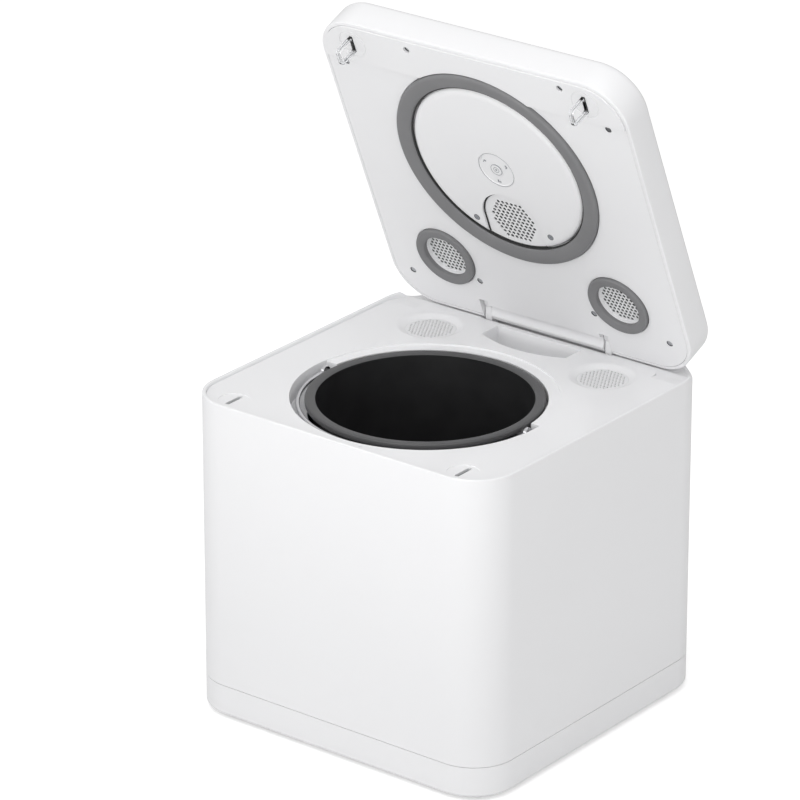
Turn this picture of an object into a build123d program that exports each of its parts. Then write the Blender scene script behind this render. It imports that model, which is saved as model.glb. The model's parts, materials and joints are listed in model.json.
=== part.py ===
"""Electric food waste composter: body, sprung lid, removable bucket and drive.

Millimetres. The origin is the centre of the footprint on the resting plane,
+Z is up, the front faces -Y and the right side +X. Every lid piece is drawn as
it lies with the lid closed and is then turned about the hinge to its open rest.
"""
import os
from math import cos, hypot, pi, radians, sin, sqrt

from build123d import *

os.makedirs("parts", exist_ok=True)

# Body
width = 270.0  # across, left to right
depth = 270.0  # front to back
corner_radius = 34.0
wall = 3.0
foot_height = 3.0
tray_height = 23.3
seam_gap = 0.4
shell_height = 220.7
rim_round = 1.1
tray_floor = 3.0
tray_round = 2.5
lip_height = 6.0
lip_wall = 1.8
fit_gap = 0.15  # between nested mouldings
rest_gap = 0.3  # between pieces of different bodies that rest on each other
run_gap = 0.05  # radial, shafts in their bores

# Lid and hinge
lid_gap = 0.6
lid_thickness = 28.0
lid_wall = 3.0
lid_round = 7.0
lid_open = 67.0
hinge_inset = 11.0  # axis in front of the rear face
hinge_rise = 9.0  # axis above the lid's underside
pin_radius = 2.5
lug_width = 6.0
lug_spread = 109.0  # between the two lugs' centres
lug_half_depth = 4.0
eye_radius = 6.0
lug_clearance = 0.8
lug_slot_gap = 1.5  # behind the lugs
knuckle_width = 6.0
trough_clearance = 0.6

# Deck
deck_drop = 2.4
deck_thickness = 2.5
skirt_height = 13.0
skirt_wall = 1.8
strip_inset = 24.3  # rear face to the step where the raised deck ends
strip_drop = 1.5
plateau_inset = 28.0  # side face to the end of that step
plateau_corner = 8.0
ear_length = 12.0
rear_block_height = 7.0
hinge_slot_inset = 18.0  # rear face to the front of the hinge slot
hinge_slot_margin = 2.0  # beyond the lugs at both ends
recess_half = 38.0
recess_gap = 1.0  # to the step behind it
recess_length = 19.7  # of its straight sides
recess_bow = 9.2
recess_depth = 24.0
recess_wall = 2.0

# Bucket well and bail channel
front_margin = 11.0  # front face to the bail channel
rear_margin = 65.0  # bail channel to the rear face
channel_wall = 2.5
channel_flange = 4.5  # flush in the deck, round the channel
channel_depth = 13.5
channel_end = 8.6  # behind the bucket's centre
bore_gap = 1.9  # round the bucket's rim, behind the channel
rear_step_drop = 1.3
well_gap = 3.9  # round the bucket's mouth
well_wall = 1.2
well_floor_height = 80.0
well_hole_radius = 17.0

# Bucket
channel_band = 18.5  # bucket mouth to the outside of the bail channel
bucket_wall = 1.6
bucket_draft = 2.4  # how much narrower the floor is
bucket_floor_round = 12.0
ring_width = 7.6
ring_height = 4.8
ring_top_gap = 0.6  # ring top below the deck
tube_radius = 13.0
tube_height = 22.0
bail_offset = 12.5  # bucket mouth to the middle of the wire
bail_wire = 1.7
bail_drop = 5.0  # pivot below the deck
bail_eye_radius = 4.2
bail_eye_width = 2.4
bail_pin_radius = 2.0
ear_radius = 5.0

# Lid underside
gasket_lap = 8.0  # outside the bucket's mouth
gasket_reach = 4.5  # inside the bucket's mouth
gasket_height = 3.3
gasket_seat = 2.0
plate_inset = 10.5  # inside the bucket's mouth
plate_lap = 0.8  # of the gasket over the plate's opening
plate_height = 1.5
plate_wall = 2.0
plate_gap = 0.4  # to the opening's wall
groove_depth = 4.0
arch_radius = 26.0
arch_inset = 17.7  # arch centre inside the plate's edge
cap_radius = 15.5
panel_wall = 2.6
panel_gap = 0.25
band_width = 35.5  # thicker front band, from the front face
band_height = 1.4
side_inset_x = 57.0
side_inset_y = 54.5
side_outer = 25.8
side_inner = 18.2
side_height = 2.7
side_seat = 1.5
grille_wall = 1.5
scoop_inset = 14.0  # rear face to the front of the scoop
scoop_length = 10.0
scoop_depth = 4.0

# Deck grilles
dish_radius = 26.0
dish_floor_radius = 19.0
dish_depth = 3.0
grille_boss = 29.0
grille_ledge = 1.4

# Latches
latch_inset_x = 32.5
latch_inset_y = 18.5
loop_width = 14.0
loop_drop = 19.0
loop_wall = 2.6
loop_frame = 2.1
loop_tip = 4.0
slot_width = 3.3
slot_length = 17.5
dimple_radius = 11.6
dimple_depth = 0.5
bolt_size = 5.0
bolt_travel = 6.0
bolt_rise = 4.2  # bolt's underside above the loop's lower edge
bolt_length = 20.0
bolt_rest = 1.0  # tip to loop, with the bolt drawn back
case_height = 17.0
case_margin = 1.5
case_nose = 7.0  # beyond the loop
case_tail = 4.0  # behind the bolt

# Drive
gear_module = 1.5
gear_teeth = 56
pinion_teeth = 14
gear_width = 8.0
tooth_backlash = 0.45
chassis_wall = 4.0
case_wall = 3.0
gear_lift = 6.0
gear_headroom = 5.0  # gears to the cover
shaft_radius = 6.5
square_size = 9.0
square_gap = 0.4
chassis_inset_x = 23.0
chassis_inset_y = 16.0
chassis_lap = 7.5  # behind the motor
post_inset = 12.0
motor_radius = 24.0
motor_height = 42.0
motor_shaft = 3.0

# Air path
filter_radius = 28.0
filter_rim = 1.5
plenum_inset = 27.0
plenum_gap = 9.0  # behind the chassis plate
plenum_height = 46.0
plenum_drop = 2.0  # below the well's floor
plenum_wall = 2.0
fan_size = 60.0
fan_depth = 16.0
fan_gap = 2.0  # to the rear wall
vent_gap = 1.7  # above the tray's lip
vent_slats = 8

# Derived heights and places
tray_top = foot_height + tray_height
shell_bottom = tray_top + seam_gap
rim_top = shell_bottom + shell_height
deck_top = rim_top - deck_drop
lid_under = rim_top + lid_gap
lid_top = lid_under + lid_thickness
hinge_y = depth / 2 - hinge_inset
hinge_z = lid_under + hinge_rise
trough_radius = hypot(hinge_inset, hinge_rise) + trough_clearance
hinge_axis = Axis((0, hinge_y, hinge_z), (1, 0, 0))
floor_top = foot_height + tray_floor
inner_corner = corner_radius - wall
strip_front = depth / 2 - strip_inset
plateau_half = width / 2 - plateau_inset
hinge_slot_front = depth / 2 - hinge_slot_inset
hinge_slot_half = lug_spread / 2 + lug_width / 2 + hinge_slot_margin
recess_back = strip_front - recess_gap
recess_side = recess_back - recess_length
recess_front = recess_side - recess_bow
channel_radius = (depth - front_margin - rear_margin) / 2
bucket_y = channel_radius + front_margin - depth / 2
flange_radius = channel_radius + channel_flange
mouth_radius = channel_radius - channel_band
ring_radius = mouth_radius + ring_width
bore_radius = ring_radius + bore_gap
well_radius = mouth_radius + bucket_wall + well_gap
bail_radius = mouth_radius + bail_offset
gasket_outer = mouth_radius + gasket_lap
gasket_inner = mouth_radius - gasket_reach
plate_radius = mouth_radius - plate_inset
arch_y = bucket_y + plate_radius - arch_inset
band_edge = band_width - depth / 2
side_x = width / 2 - side_inset_x
side_y = depth / 2 - side_inset_y
scoop_half = lug_spread / 2 + lug_width / 2 + lug_clearance
scoop_front = depth / 2 - scoop_inset
scoop_back = scoop_front + scoop_length
latch_x = width / 2 - latch_inset_x
latch_y = latch_inset_y - depth / 2
channel_floor = deck_top - channel_depth
ring_top = deck_top - ring_top_gap
pivot_z = deck_top - bail_drop
bucket_bottom = well_floor_height + well_wall + rest_gap
chassis_top = well_floor_height - case_wall - gear_headroom - gear_width - gear_lift
chassis_height = chassis_top - chassis_wall
motor_y = bucket_y + gear_module * (gear_teeth + pinion_teeth) / 2
chassis_front = chassis_inset_y - depth / 2
chassis_back = motor_y + motor_radius + chassis_lap
plenum_front = chassis_back + plenum_gap
plenum_half = width / 2 - plenum_inset
plenum_top = well_floor_height - plenum_drop
fan_height = (plenum_height + plenum_top) / 2
vent_size = 2 * (fan_height - tray_top - lip_height - vent_gap)
fan_front = depth / 2 - wall - fan_gap - fan_depth
plenum_middle = (plenum_front + fan_front) / 2
filter_top = deck_top - recess_depth - recess_wall - fit_gap
sides = (("left", -1), ("right", 1))


def save(name, solid):
    """Label one finished piece and write it as its own STEP file."""
    solid.label = name
    export_step(solid, "parts/" + name + ".step")


def save_lid(name, solid):
    """Write a lid piece, turned from closed to its open rest pose."""
    save(name, solid.rotate(hinge_axis, -lid_open))


# Base tray ------------------------------------------------------------------
boss_radius = 6.0
boss_sink = 0.4  # into the corner's wall
boss_reach = (inner_corner - boss_radius + boss_sink) / sqrt(2) - corner_radius
boss_places = (width + 2 * boss_reach, depth + 2 * boss_reach)
screw_radius = 2.0
post_radius = 5.0
plenum_post_inset = 28.0
board_x = 58.0 - width / 2
board_y = 105.0 - depth / 2
board_width = 66.0
board_length = 100.0
board_lift = 8.0
board_wall = 1.6
board_hole_inset = 5.0
board_post_radius = 3.5
cooling_slot = (44.0, 4.0)
cooling_pitch = 9.0

with BuildPart() as base_tray:
    with BuildSketch(Plane.XY.offset(foot_height)):
        RectangleRounded(width, depth, corner_radius)
    extrude(amount=tray_height)
    fillet(base_tray.edges().group_by(Axis.Z)[0], radius=tray_round)
    with BuildSketch(Plane.XY.offset(floor_top)):
        RectangleRounded(width - 2 * wall, depth - 2 * wall, inner_corner)
    extrude(amount=tray_height, mode=Mode.SUBTRACT)
    lip_inset = 2 * (wall + fit_gap)
    with BuildSketch(Plane.XY.offset(floor_top)):
        RectangleRounded(width - 2 * wall, depth - 2 * wall, inner_corner)
        RectangleRounded(width - 2 * wall - 2 * lip_wall, depth - 2 * wall - 2 * lip_wall,
                         inner_corner - lip_wall, mode=Mode.SUBTRACT)
    extrude(amount=tray_top - floor_top)
    with BuildSketch(Plane.XY.offset(tray_top)):
        RectangleRounded(width - lip_inset, depth - lip_inset, inner_corner - fit_gap)
        RectangleRounded(width - lip_inset - 2 * lip_wall, depth - lip_inset - 2 * lip_wall,
                         inner_corner - fit_gap - lip_wall, mode=Mode.SUBTRACT)
        with GridLocations(*boss_places, 2, 2):
            Circle(boss_radius + fit_gap, mode=Mode.SUBTRACT)
    extrude(amount=lip_height)
    with BuildSketch(Plane.XY.offset(floor_top)):
        with GridLocations(*boss_places, 2, 2):
            Circle(boss_radius)
    extrude(amount=tray_top - floor_top)
    # posts for the chassis plate, the plenum and the power board
    with BuildSketch(Plane.XY.offset(floor_top)):
        with Locations((0, (chassis_front + chassis_back) / 2)):
            with GridLocations(width - 2 * (chassis_inset_x + post_inset),
                               chassis_back - chassis_front - 2 * post_inset, 2, 2):
                Circle(post_radius)
    extrude(amount=chassis_height - floor_top)
    with BuildSketch(Plane.XY.offset(floor_top)):
        with Locations((0, plenum_middle)):
            with GridLocations(2 * (plenum_half - plenum_post_inset), 0, 2, 1):
                Circle(post_radius)
    extrude(amount=plenum_height - floor_top)
    with BuildSketch(Plane.XY.offset(floor_top)):
        with Locations((board_x, board_y)):
            with GridLocations(board_width - 2 * board_hole_inset,
                               board_length - 2 * board_hole_inset, 2, 2):
                Circle(board_post_radius)
    extrude(amount=board_lift)
    # screw holes and cooling slots in the floor
    with BuildSketch(Plane.XY.offset(foot_height)):
        with GridLocations(*boss_places, 2, 2):
            Circle(screw_radius)
    extrude(amount=tray_height, mode=Mode.SUBTRACT)
    with BuildSketch(Plane.XY.offset(foot_height)):
        with Locations((0, motor_y)):
            with GridLocations(cooling_pitch, 0, 6, 1):
                SlotOverall(*cooling_slot, rotation=90)
    extrude(amount=tray_floor, mode=Mode.SUBTRACT)
save("base_tray", base_tray.part)

foot_radius = 8.0
foot_x = width / 2 - 12.5
foot_y = depth / 2 - 45.0
with BuildPart() as feet:
    with BuildSketch(Plane.XY.offset(foot_height)):
        with GridLocations(2 * foot_x, 2 * foot_y, 2, 2):
            Circle(foot_radius)
    extrude(amount=-foot_height, taper=12)
save("feet", feet.part)

screw_length = 20.0
with BuildPart() as base_screws:
    with BuildSketch(Plane.XY.offset(foot_height)):
        with GridLocations(*boss_places, 2, 2):
            Circle(2 * screw_radius)
    extrude(amount=-1.4, taper=20)
    with BuildSketch(Plane.XY.offset(foot_height)):
        with GridLocations(*boss_places, 2, 2):
            Circle(screw_radius)
    extrude(amount=tray_height + seam_gap + screw_length)
save("base_screws", base_screws.part)

# Outer shell ----------------------------------------------------------------
inlet_x = width / 2 - 52.0
inlet_z = 52.0
inlet_width = 28.0
inlet_height = 21.0
shell_boss_height = 30.0
with BuildPart() as outer_shell:
    with BuildSketch(Plane.XY.offset(shell_bottom)):
        RectangleRounded(width, depth, corner_radius)
        RectangleRounded(width - 2 * wall, depth - 2 * wall, inner_corner, mode=Mode.SUBTRACT)
    extrude(amount=shell_height)
    fillet(outer_shell.edges().group_by(Axis.Z)[-1], radius=rim_round)
    with BuildSketch(Plane.YZ):
        with Locations((hinge_y, hinge_z)):
            Circle(trough_radius)
    extrude(amount=width, both=True, mode=Mode.SUBTRACT)
    with BuildSketch(Plane.XY.offset(shell_bottom)):
        with GridLocations(*boss_places, 2, 2):
            Circle(boss_radius)
    extrude(amount=shell_boss_height)
    with BuildSketch(Plane.XY.offset(shell_bottom)):
        with GridLocations(*boss_places, 2, 2):
            Circle(screw_radius)
    extrude(amount=screw_length, mode=Mode.SUBTRACT)
    with BuildSketch(Plane.XZ.offset(-depth / 2)):
        with Locations((0, fan_height)):
            RectangleRounded(vent_size, vent_size, 6)
        with Locations((inlet_x, inlet_z)):
            RectangleRounded(inlet_width, inlet_height, 2)
    extrude(amount=wall, mode=Mode.SUBTRACT)
save("outer_shell", outer_shell.part)

# Top deck -------------------------------------------------------------------
deck_width = width - 2 * wall - 2 * fit_gap
deck_depth = depth - 2 * wall - 2 * fit_gap
deck_corner = inner_corner - fit_gap
strip_z = deck_top - strip_drop
recess_rise = recess_side - recess_front
recess_arc = (recess_half**2 + recess_rise**2) / (2 * recess_rise)


def recess_outline(grow=0.0):
    """D-shaped finger recess: straight back, short sides, bowed front."""
    with BuildSketch() as outline:
        with BuildLine():
            Polyline((-recess_half - grow, recess_side), (-recess_half - grow, recess_back + grow),
                     (recess_half + grow, recess_back + grow), (recess_half + grow, recess_side))
            ThreePointArc((-recess_half - grow, recess_side), (0, recess_front - grow),
                          (recess_half + grow, recess_side))
        make_face()
    return outline.sketch


with BuildPart() as top_deck:
    with BuildSketch(Plane.XY.offset(deck_top - deck_thickness)):
        RectangleRounded(deck_width, deck_depth, deck_corner)
    extrude(amount=deck_thickness)
    with BuildSketch(Plane.XY.offset(deck_top - skirt_height)):
        RectangleRounded(deck_width, deck_depth, deck_corner)
        RectangleRounded(deck_width - 2 * skirt_wall, deck_depth - 2 * skirt_wall,
                         deck_corner - skirt_wall, mode=Mode.SUBTRACT)
    extrude(amount=skirt_height)
    with BuildSketch(Plane.XY.offset(deck_top - rear_block_height)):
        RectangleRounded(deck_width, deck_depth, deck_corner)
        with Locations((0, strip_front - recess_wall - depth / 2)):
            Rectangle(width, depth, mode=Mode.SUBTRACT)
    extrude(amount=rear_block_height)
    # grille bosses and the tub of the finger recess
    with BuildSketch(Plane.XY.offset(filter_top)):
        with Locations((-side_x, side_y), (side_x, side_y)):
            Circle(grille_boss)
    extrude(amount=deck_top - filter_top)
    with BuildSketch(Plane.XY.offset(deck_top - recess_depth - recess_wall)):
        add(recess_outline(recess_wall))
    extrude(amount=recess_depth + recess_wall)
    # openings
    with BuildSketch(Plane.XY.offset(deck_top)):
        with Locations((0, bucket_y)):
            Circle(flange_radius + fit_gap)
    extrude(amount=-deck_thickness, mode=Mode.SUBTRACT)
    with BuildSketch(Plane.XY.offset(deck_top - deck_thickness)):
        with Locations((0, bucket_y)):
            Circle(channel_radius + channel_wall + fit_gap)
    extrude(amount=-2 * channel_depth, mode=Mode.SUBTRACT)
    with BuildSketch(Plane.XY.offset(deck_top)):
        add(recess_outline())
    extrude(amount=-recess_depth, mode=Mode.SUBTRACT)
    # lowered rear strip, its fading ends and the lid's trough
    with BuildSketch(Plane.XY.offset(strip_z)):
        with Locations((0, strip_front + depth / 2)):
            Rectangle(width, depth)
    extrude(amount=strip_drop, mode=Mode.SUBTRACT)
    with BuildSketch(Plane.XY.offset(strip_z)):
        with GridLocations(2 * plateau_half - plateau_corner, 0, 2, 1):
            with Locations((0, strip_front - plateau_corner / 2)):
                Rectangle(plateau_corner, plateau_corner)
        with GridLocations(2 * (plateau_half - plateau_corner), 0, 2, 1):
            with Locations((0, strip_front - plateau_corner)):
                Circle(plateau_corner, mode=Mode.SUBTRACT)
    extrude(amount=strip_drop, mode=Mode.SUBTRACT)
    for side, direction in sides:
        with BuildSketch(Plane.YZ.offset(direction * plateau_half)):
            with BuildLine():
                Polyline((strip_front - ear_length, deck_top), (strip_front, strip_z),
                         (strip_front, deck_top), close=True)
            make_face()
        extrude(amount=direction * width, mode=Mode.SUBTRACT)
    with BuildSketch(Plane.YZ):
        with Locations((hinge_y, hinge_z)):
            Circle(trough_radius)
    extrude(amount=width, both=True, mode=Mode.SUBTRACT)
    slot_back = hinge_y + lug_half_depth + lug_slot_gap
    with BuildSketch(Plane.XY.offset(deck_top)):
        with Locations((0, (hinge_slot_front + slot_back) / 2)):
            Rectangle(2 * hinge_slot_half, slot_back - hinge_slot_front)
    extrude(amount=-2 * rear_block_height, mode=Mode.SUBTRACT)
    # grille dishes and latch slots
    with Locations((-side_x, side_y, deck_top - dish_depth / 2),
                   (side_x, side_y, deck_top - dish_depth / 2)):
        Cone(dish_floor_radius, dish_radius, dish_depth, mode=Mode.SUBTRACT)
    with BuildSketch(Plane.XY.offset(deck_top - dish_depth - grille_wall)):
        with Locations((-side_x, side_y), (side_x, side_y)):
            Circle(dish_floor_radius)
    extrude(amount=grille_wall, mode=Mode.SUBTRACT)
    with BuildSketch(Plane.XY.offset(deck_top)):
        with Locations((-side_x, side_y), (side_x, side_y)):
            Circle(dish_floor_radius - grille_ledge)
    extrude(amount=filter_top - deck_top, mode=Mode.SUBTRACT)
    with BuildSketch(Plane.XY.offset(deck_top)):
        with Locations((-latch_x, latch_y), (latch_x, latch_y)):
            Circle(dimple_radius)
    extrude(amount=-dimple_depth, mode=Mode.SUBTRACT)
    with BuildSketch(Plane.XY.offset(deck_top)):
        with Locations((-latch_x, latch_y), (latch_x, latch_y)):
            SlotOverall(slot_length, slot_width, rotation=90)
    extrude(amount=-2 * deck_thickness, mode=Mode.SUBTRACT)
save("top_deck", top_deck.part)

# Bail channel: a flat collar on the well, a flanged rim and a ledge behind -----
rim_bottom = deck_top - deck_thickness


def channel_sketch(inner, outer, front=True):
    """Front or rear part of a ring round the bucket, split at the channel's ends."""
    with BuildSketch() as ring:
        with Locations((0, bucket_y)):
            Circle(outer)
            Circle(inner, mode=Mode.SUBTRACT)
        cut_y = bucket_y + channel_end + (depth if front else -depth)
        with Locations((0, cut_y)):
            Rectangle(2 * depth, 2 * depth, mode=Mode.SUBTRACT)
    return ring.sketch


with BuildPart() as well_collar:
    with BuildSketch(Plane.XY.offset(channel_floor - channel_wall)):
        with Locations((0, bucket_y)):
            Circle(channel_radius + channel_wall)
            Circle(well_radius, mode=Mode.SUBTRACT)
    extrude(amount=channel_wall)
save("well_collar", well_collar.part)

with BuildPart() as channel_rim:
    with BuildSketch(Plane.XY.offset(channel_floor)):
        add(channel_sketch(channel_radius, channel_radius + channel_wall))
    extrude(amount=rim_bottom - channel_floor)
    with BuildSketch(Plane.XY.offset(rim_bottom)):
        add(channel_sketch(channel_radius, flange_radius))
    extrude(amount=deck_thickness)
save("channel_rim", channel_rim.part)

with BuildPart() as rear_ledge:
    with BuildSketch(Plane.XY.offset(channel_floor)):
        add(channel_sketch(bore_radius, channel_radius + channel_wall, front=False))
    extrude(amount=rim_bottom - channel_floor)
    with BuildSketch(Plane.XY.offset(rim_bottom)):
        add(channel_sketch(bore_radius, channel_radius, front=False))
    extrude(amount=deck_thickness - rear_step_drop)
    with BuildSketch(Plane.XY.offset(rim_bottom)):
        add(channel_sketch(channel_radius, flange_radius, front=False))
    extrude(amount=deck_thickness)
save("rear_ledge", rear_ledge.part)

# Deck grilles: perforated discs in the floor of their dishes -----------------
deck_pitch = 3.9
deck_row = 3.3
deck_hole = 2.0
deck_hole_edge = 2.5


def staggered(pitch_x, pitch_y, reach):
    """Centres of a staggered hole pattern that stays inside a circle."""
    places = []
    rows = int(reach / pitch_y)
    for row in range(-rows, rows + 1):
        shift = pitch_x / 2 if row % 2 else 0.0
        columns = int(reach / pitch_x) + 1
        for column in range(-columns, columns + 1):
            place = (column * pitch_x + shift, row * pitch_y)
            if hypot(*place) < reach:
                places.append(place)
    return places


for side, direction in sides:
    with BuildPart() as deck_grille:
        with BuildSketch(Plane((direction * side_x, side_y, deck_top - dish_depth - grille_wall))):
            Circle(dish_floor_radius - fit_gap)
            with Locations(*staggered(deck_pitch, deck_row, dish_floor_radius - deck_hole_edge)):
                Rectangle(deck_hole, deck_hole, mode=Mode.SUBTRACT)
        extrude(amount=grille_wall)
    save("deck_grille_" + side, deck_grille.part)

# Hinge: bracket under the deck, two pins and two torsion springs -------------
bracket_top = deck_top - rear_block_height
bracket_wall = 3.0
bracket_depth = 12.0
bracket_lap = 4.0
pin_inner = lug_spread / 2 - lug_width / 2 - lug_clearance - knuckle_width
spring_start = lug_spread / 2 + lug_width / 2 + lug_clearance + knuckle_width
spring_turns = 5
spring_wire = 1.2
spring_gap = 0.3  # between turns
spring_play = 0.4  # round the pin
spring_pitch = 2 * spring_wire + spring_gap
pin_outer = spring_start + spring_turns * spring_pitch + 3.0
bracket_width = 2 * (hinge_slot_half + bracket_lap)
with BuildPart() as hinge_bracket:
    with BuildSketch(Plane.XY.offset(bracket_top)):
        with Locations((0, hinge_y)):
            Rectangle(bracket_width, bracket_depth)
    extrude(amount=-bracket_wall)
    for side, direction in sides:
        with BuildSketch(Plane.YZ.offset(direction * lug_spread / 2)):
            with Locations((hinge_y, hinge_z)):
                Circle(eye_radius)
            with Locations((hinge_y, (hinge_z + bracket_top - bracket_wall) / 2)):
                Rectangle(2 * lug_half_depth, hinge_z - bracket_top + bracket_wall)
        extrude(amount=lug_width / 2, both=True)
    with BuildSketch(Plane.YZ):
        with Locations((hinge_y, hinge_z)):
            Circle(pin_radius + run_gap)
    extrude(amount=width / 2, both=True, mode=Mode.SUBTRACT)
save("hinge_bracket", hinge_bracket.part)

with BuildPart() as hinge_pins:
    for side, direction in sides:
        with BuildSketch(Plane.YZ.offset(direction * pin_inner)):
            with Locations((hinge_y, hinge_z)):
                Circle(pin_radius)
        extrude(amount=direction * (pin_outer - pin_inner))
save_lid("hinge_pins", hinge_pins.part)

spring_radius = pin_radius + spring_play + spring_wire
with BuildPart() as torsion_springs:
    for side, direction in sides:
        start = (direction * (spring_start + spring_wire + spring_gap), hinge_y, hinge_z)
        with BuildLine() as coil:
            Helix(spring_pitch, spring_pitch * spring_turns, spring_radius, start, (direction, 0, 0))
        with BuildSketch(Plane(coil.line @ 0, z_dir=coil.line % 0)):
            RegularPolygon(spring_wire, 6)
        sweep(path=coil.line, is_frenet=True)
save_lid("torsion_springs", torsion_springs.part)

# Lid cover ------------------------------------------------------------------
slot_top = hinge_z + 2.3  # of the lug slots in the lid's rear wall
lug_slot = lug_width + 2 * lug_clearance
with BuildPart() as lid_cover:
    with BuildSketch(Plane.XY.offset(lid_under)):
        RectangleRounded(width, depth, corner_radius)
    extrude(amount=lid_thickness)
    fillet(lid_cover.edges().group_by(Axis.Z)[-1], radius=lid_round)
    fillet(lid_cover.edges().group_by(Axis.Z)[0], radius=rim_round)
    with BuildSketch(Plane.XY.offset(lid_under)):
        RectangleRounded(width - 2 * lid_wall, depth - 2 * lid_wall, corner_radius - lid_wall)
    extrude(amount=lid_thickness - lid_round, mode=Mode.SUBTRACT)
    with BuildSketch(Plane.XY.offset(lid_top - lid_round)):
        RectangleRounded(width - 2 * lid_round, depth - 2 * lid_round, corner_radius - lid_round)
    extrude(amount=lid_round - lid_wall, mode=Mode.SUBTRACT)
    with BuildSketch(Plane.XY.offset(lid_under)):
        with Locations((-lug_spread / 2, depth / 2), (lug_spread / 2, depth / 2)):
            Rectangle(lug_slot, 3 * lid_wall)
    extrude(amount=slot_top - lid_under, mode=Mode.SUBTRACT)
save_lid("lid_cover", lid_cover.part)

# Lid inner panel ------------------------------------------------------------
panel_width = width - 2 * lid_wall - 2 * panel_gap
panel_depth = depth - 2 * lid_wall - 2 * panel_gap
panel_corner = corner_radius - lid_wall - panel_gap
panel_top = lid_under + panel_wall
seat_wall = 1.0
seat_rim = 2.0  # of the thickened seats round the gaskets
seat_gap = 0.2
ring_seat_top = lid_under + groove_depth + seat_wall
hole_radius = gasket_inner - plate_lap
duct_bottom = ring_seat_top + plate_wall
grille_lap = 2.5
lid_screw_places = ((83.0 - width / 2, 10.7 - depth / 2), (width / 2 - 52.5, 9.6 - depth / 2),
                    (19.3 - width / 2, 39.0 - depth / 2), (width / 2 - 19.3, 39.0 - depth / 2),
                    (18.7 - width / 2, depth / 2 - 29.0), (width / 2 - 18.7, depth / 2 - 29.0),
                    (26.3 - side_x, side_y + 16.8), (side_x - 26.3, side_y + 16.8))
lid_screw_radius = 2.6
scoop_lip = 0.5
dimple_ring = 1.0
knuckle_places = [direction * (lug_spread / 2 + step * (lug_width / 2 + lug_clearance + knuckle_width / 2))
                  for direction in (-1, 1) for step in (-1, 1)]

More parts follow.
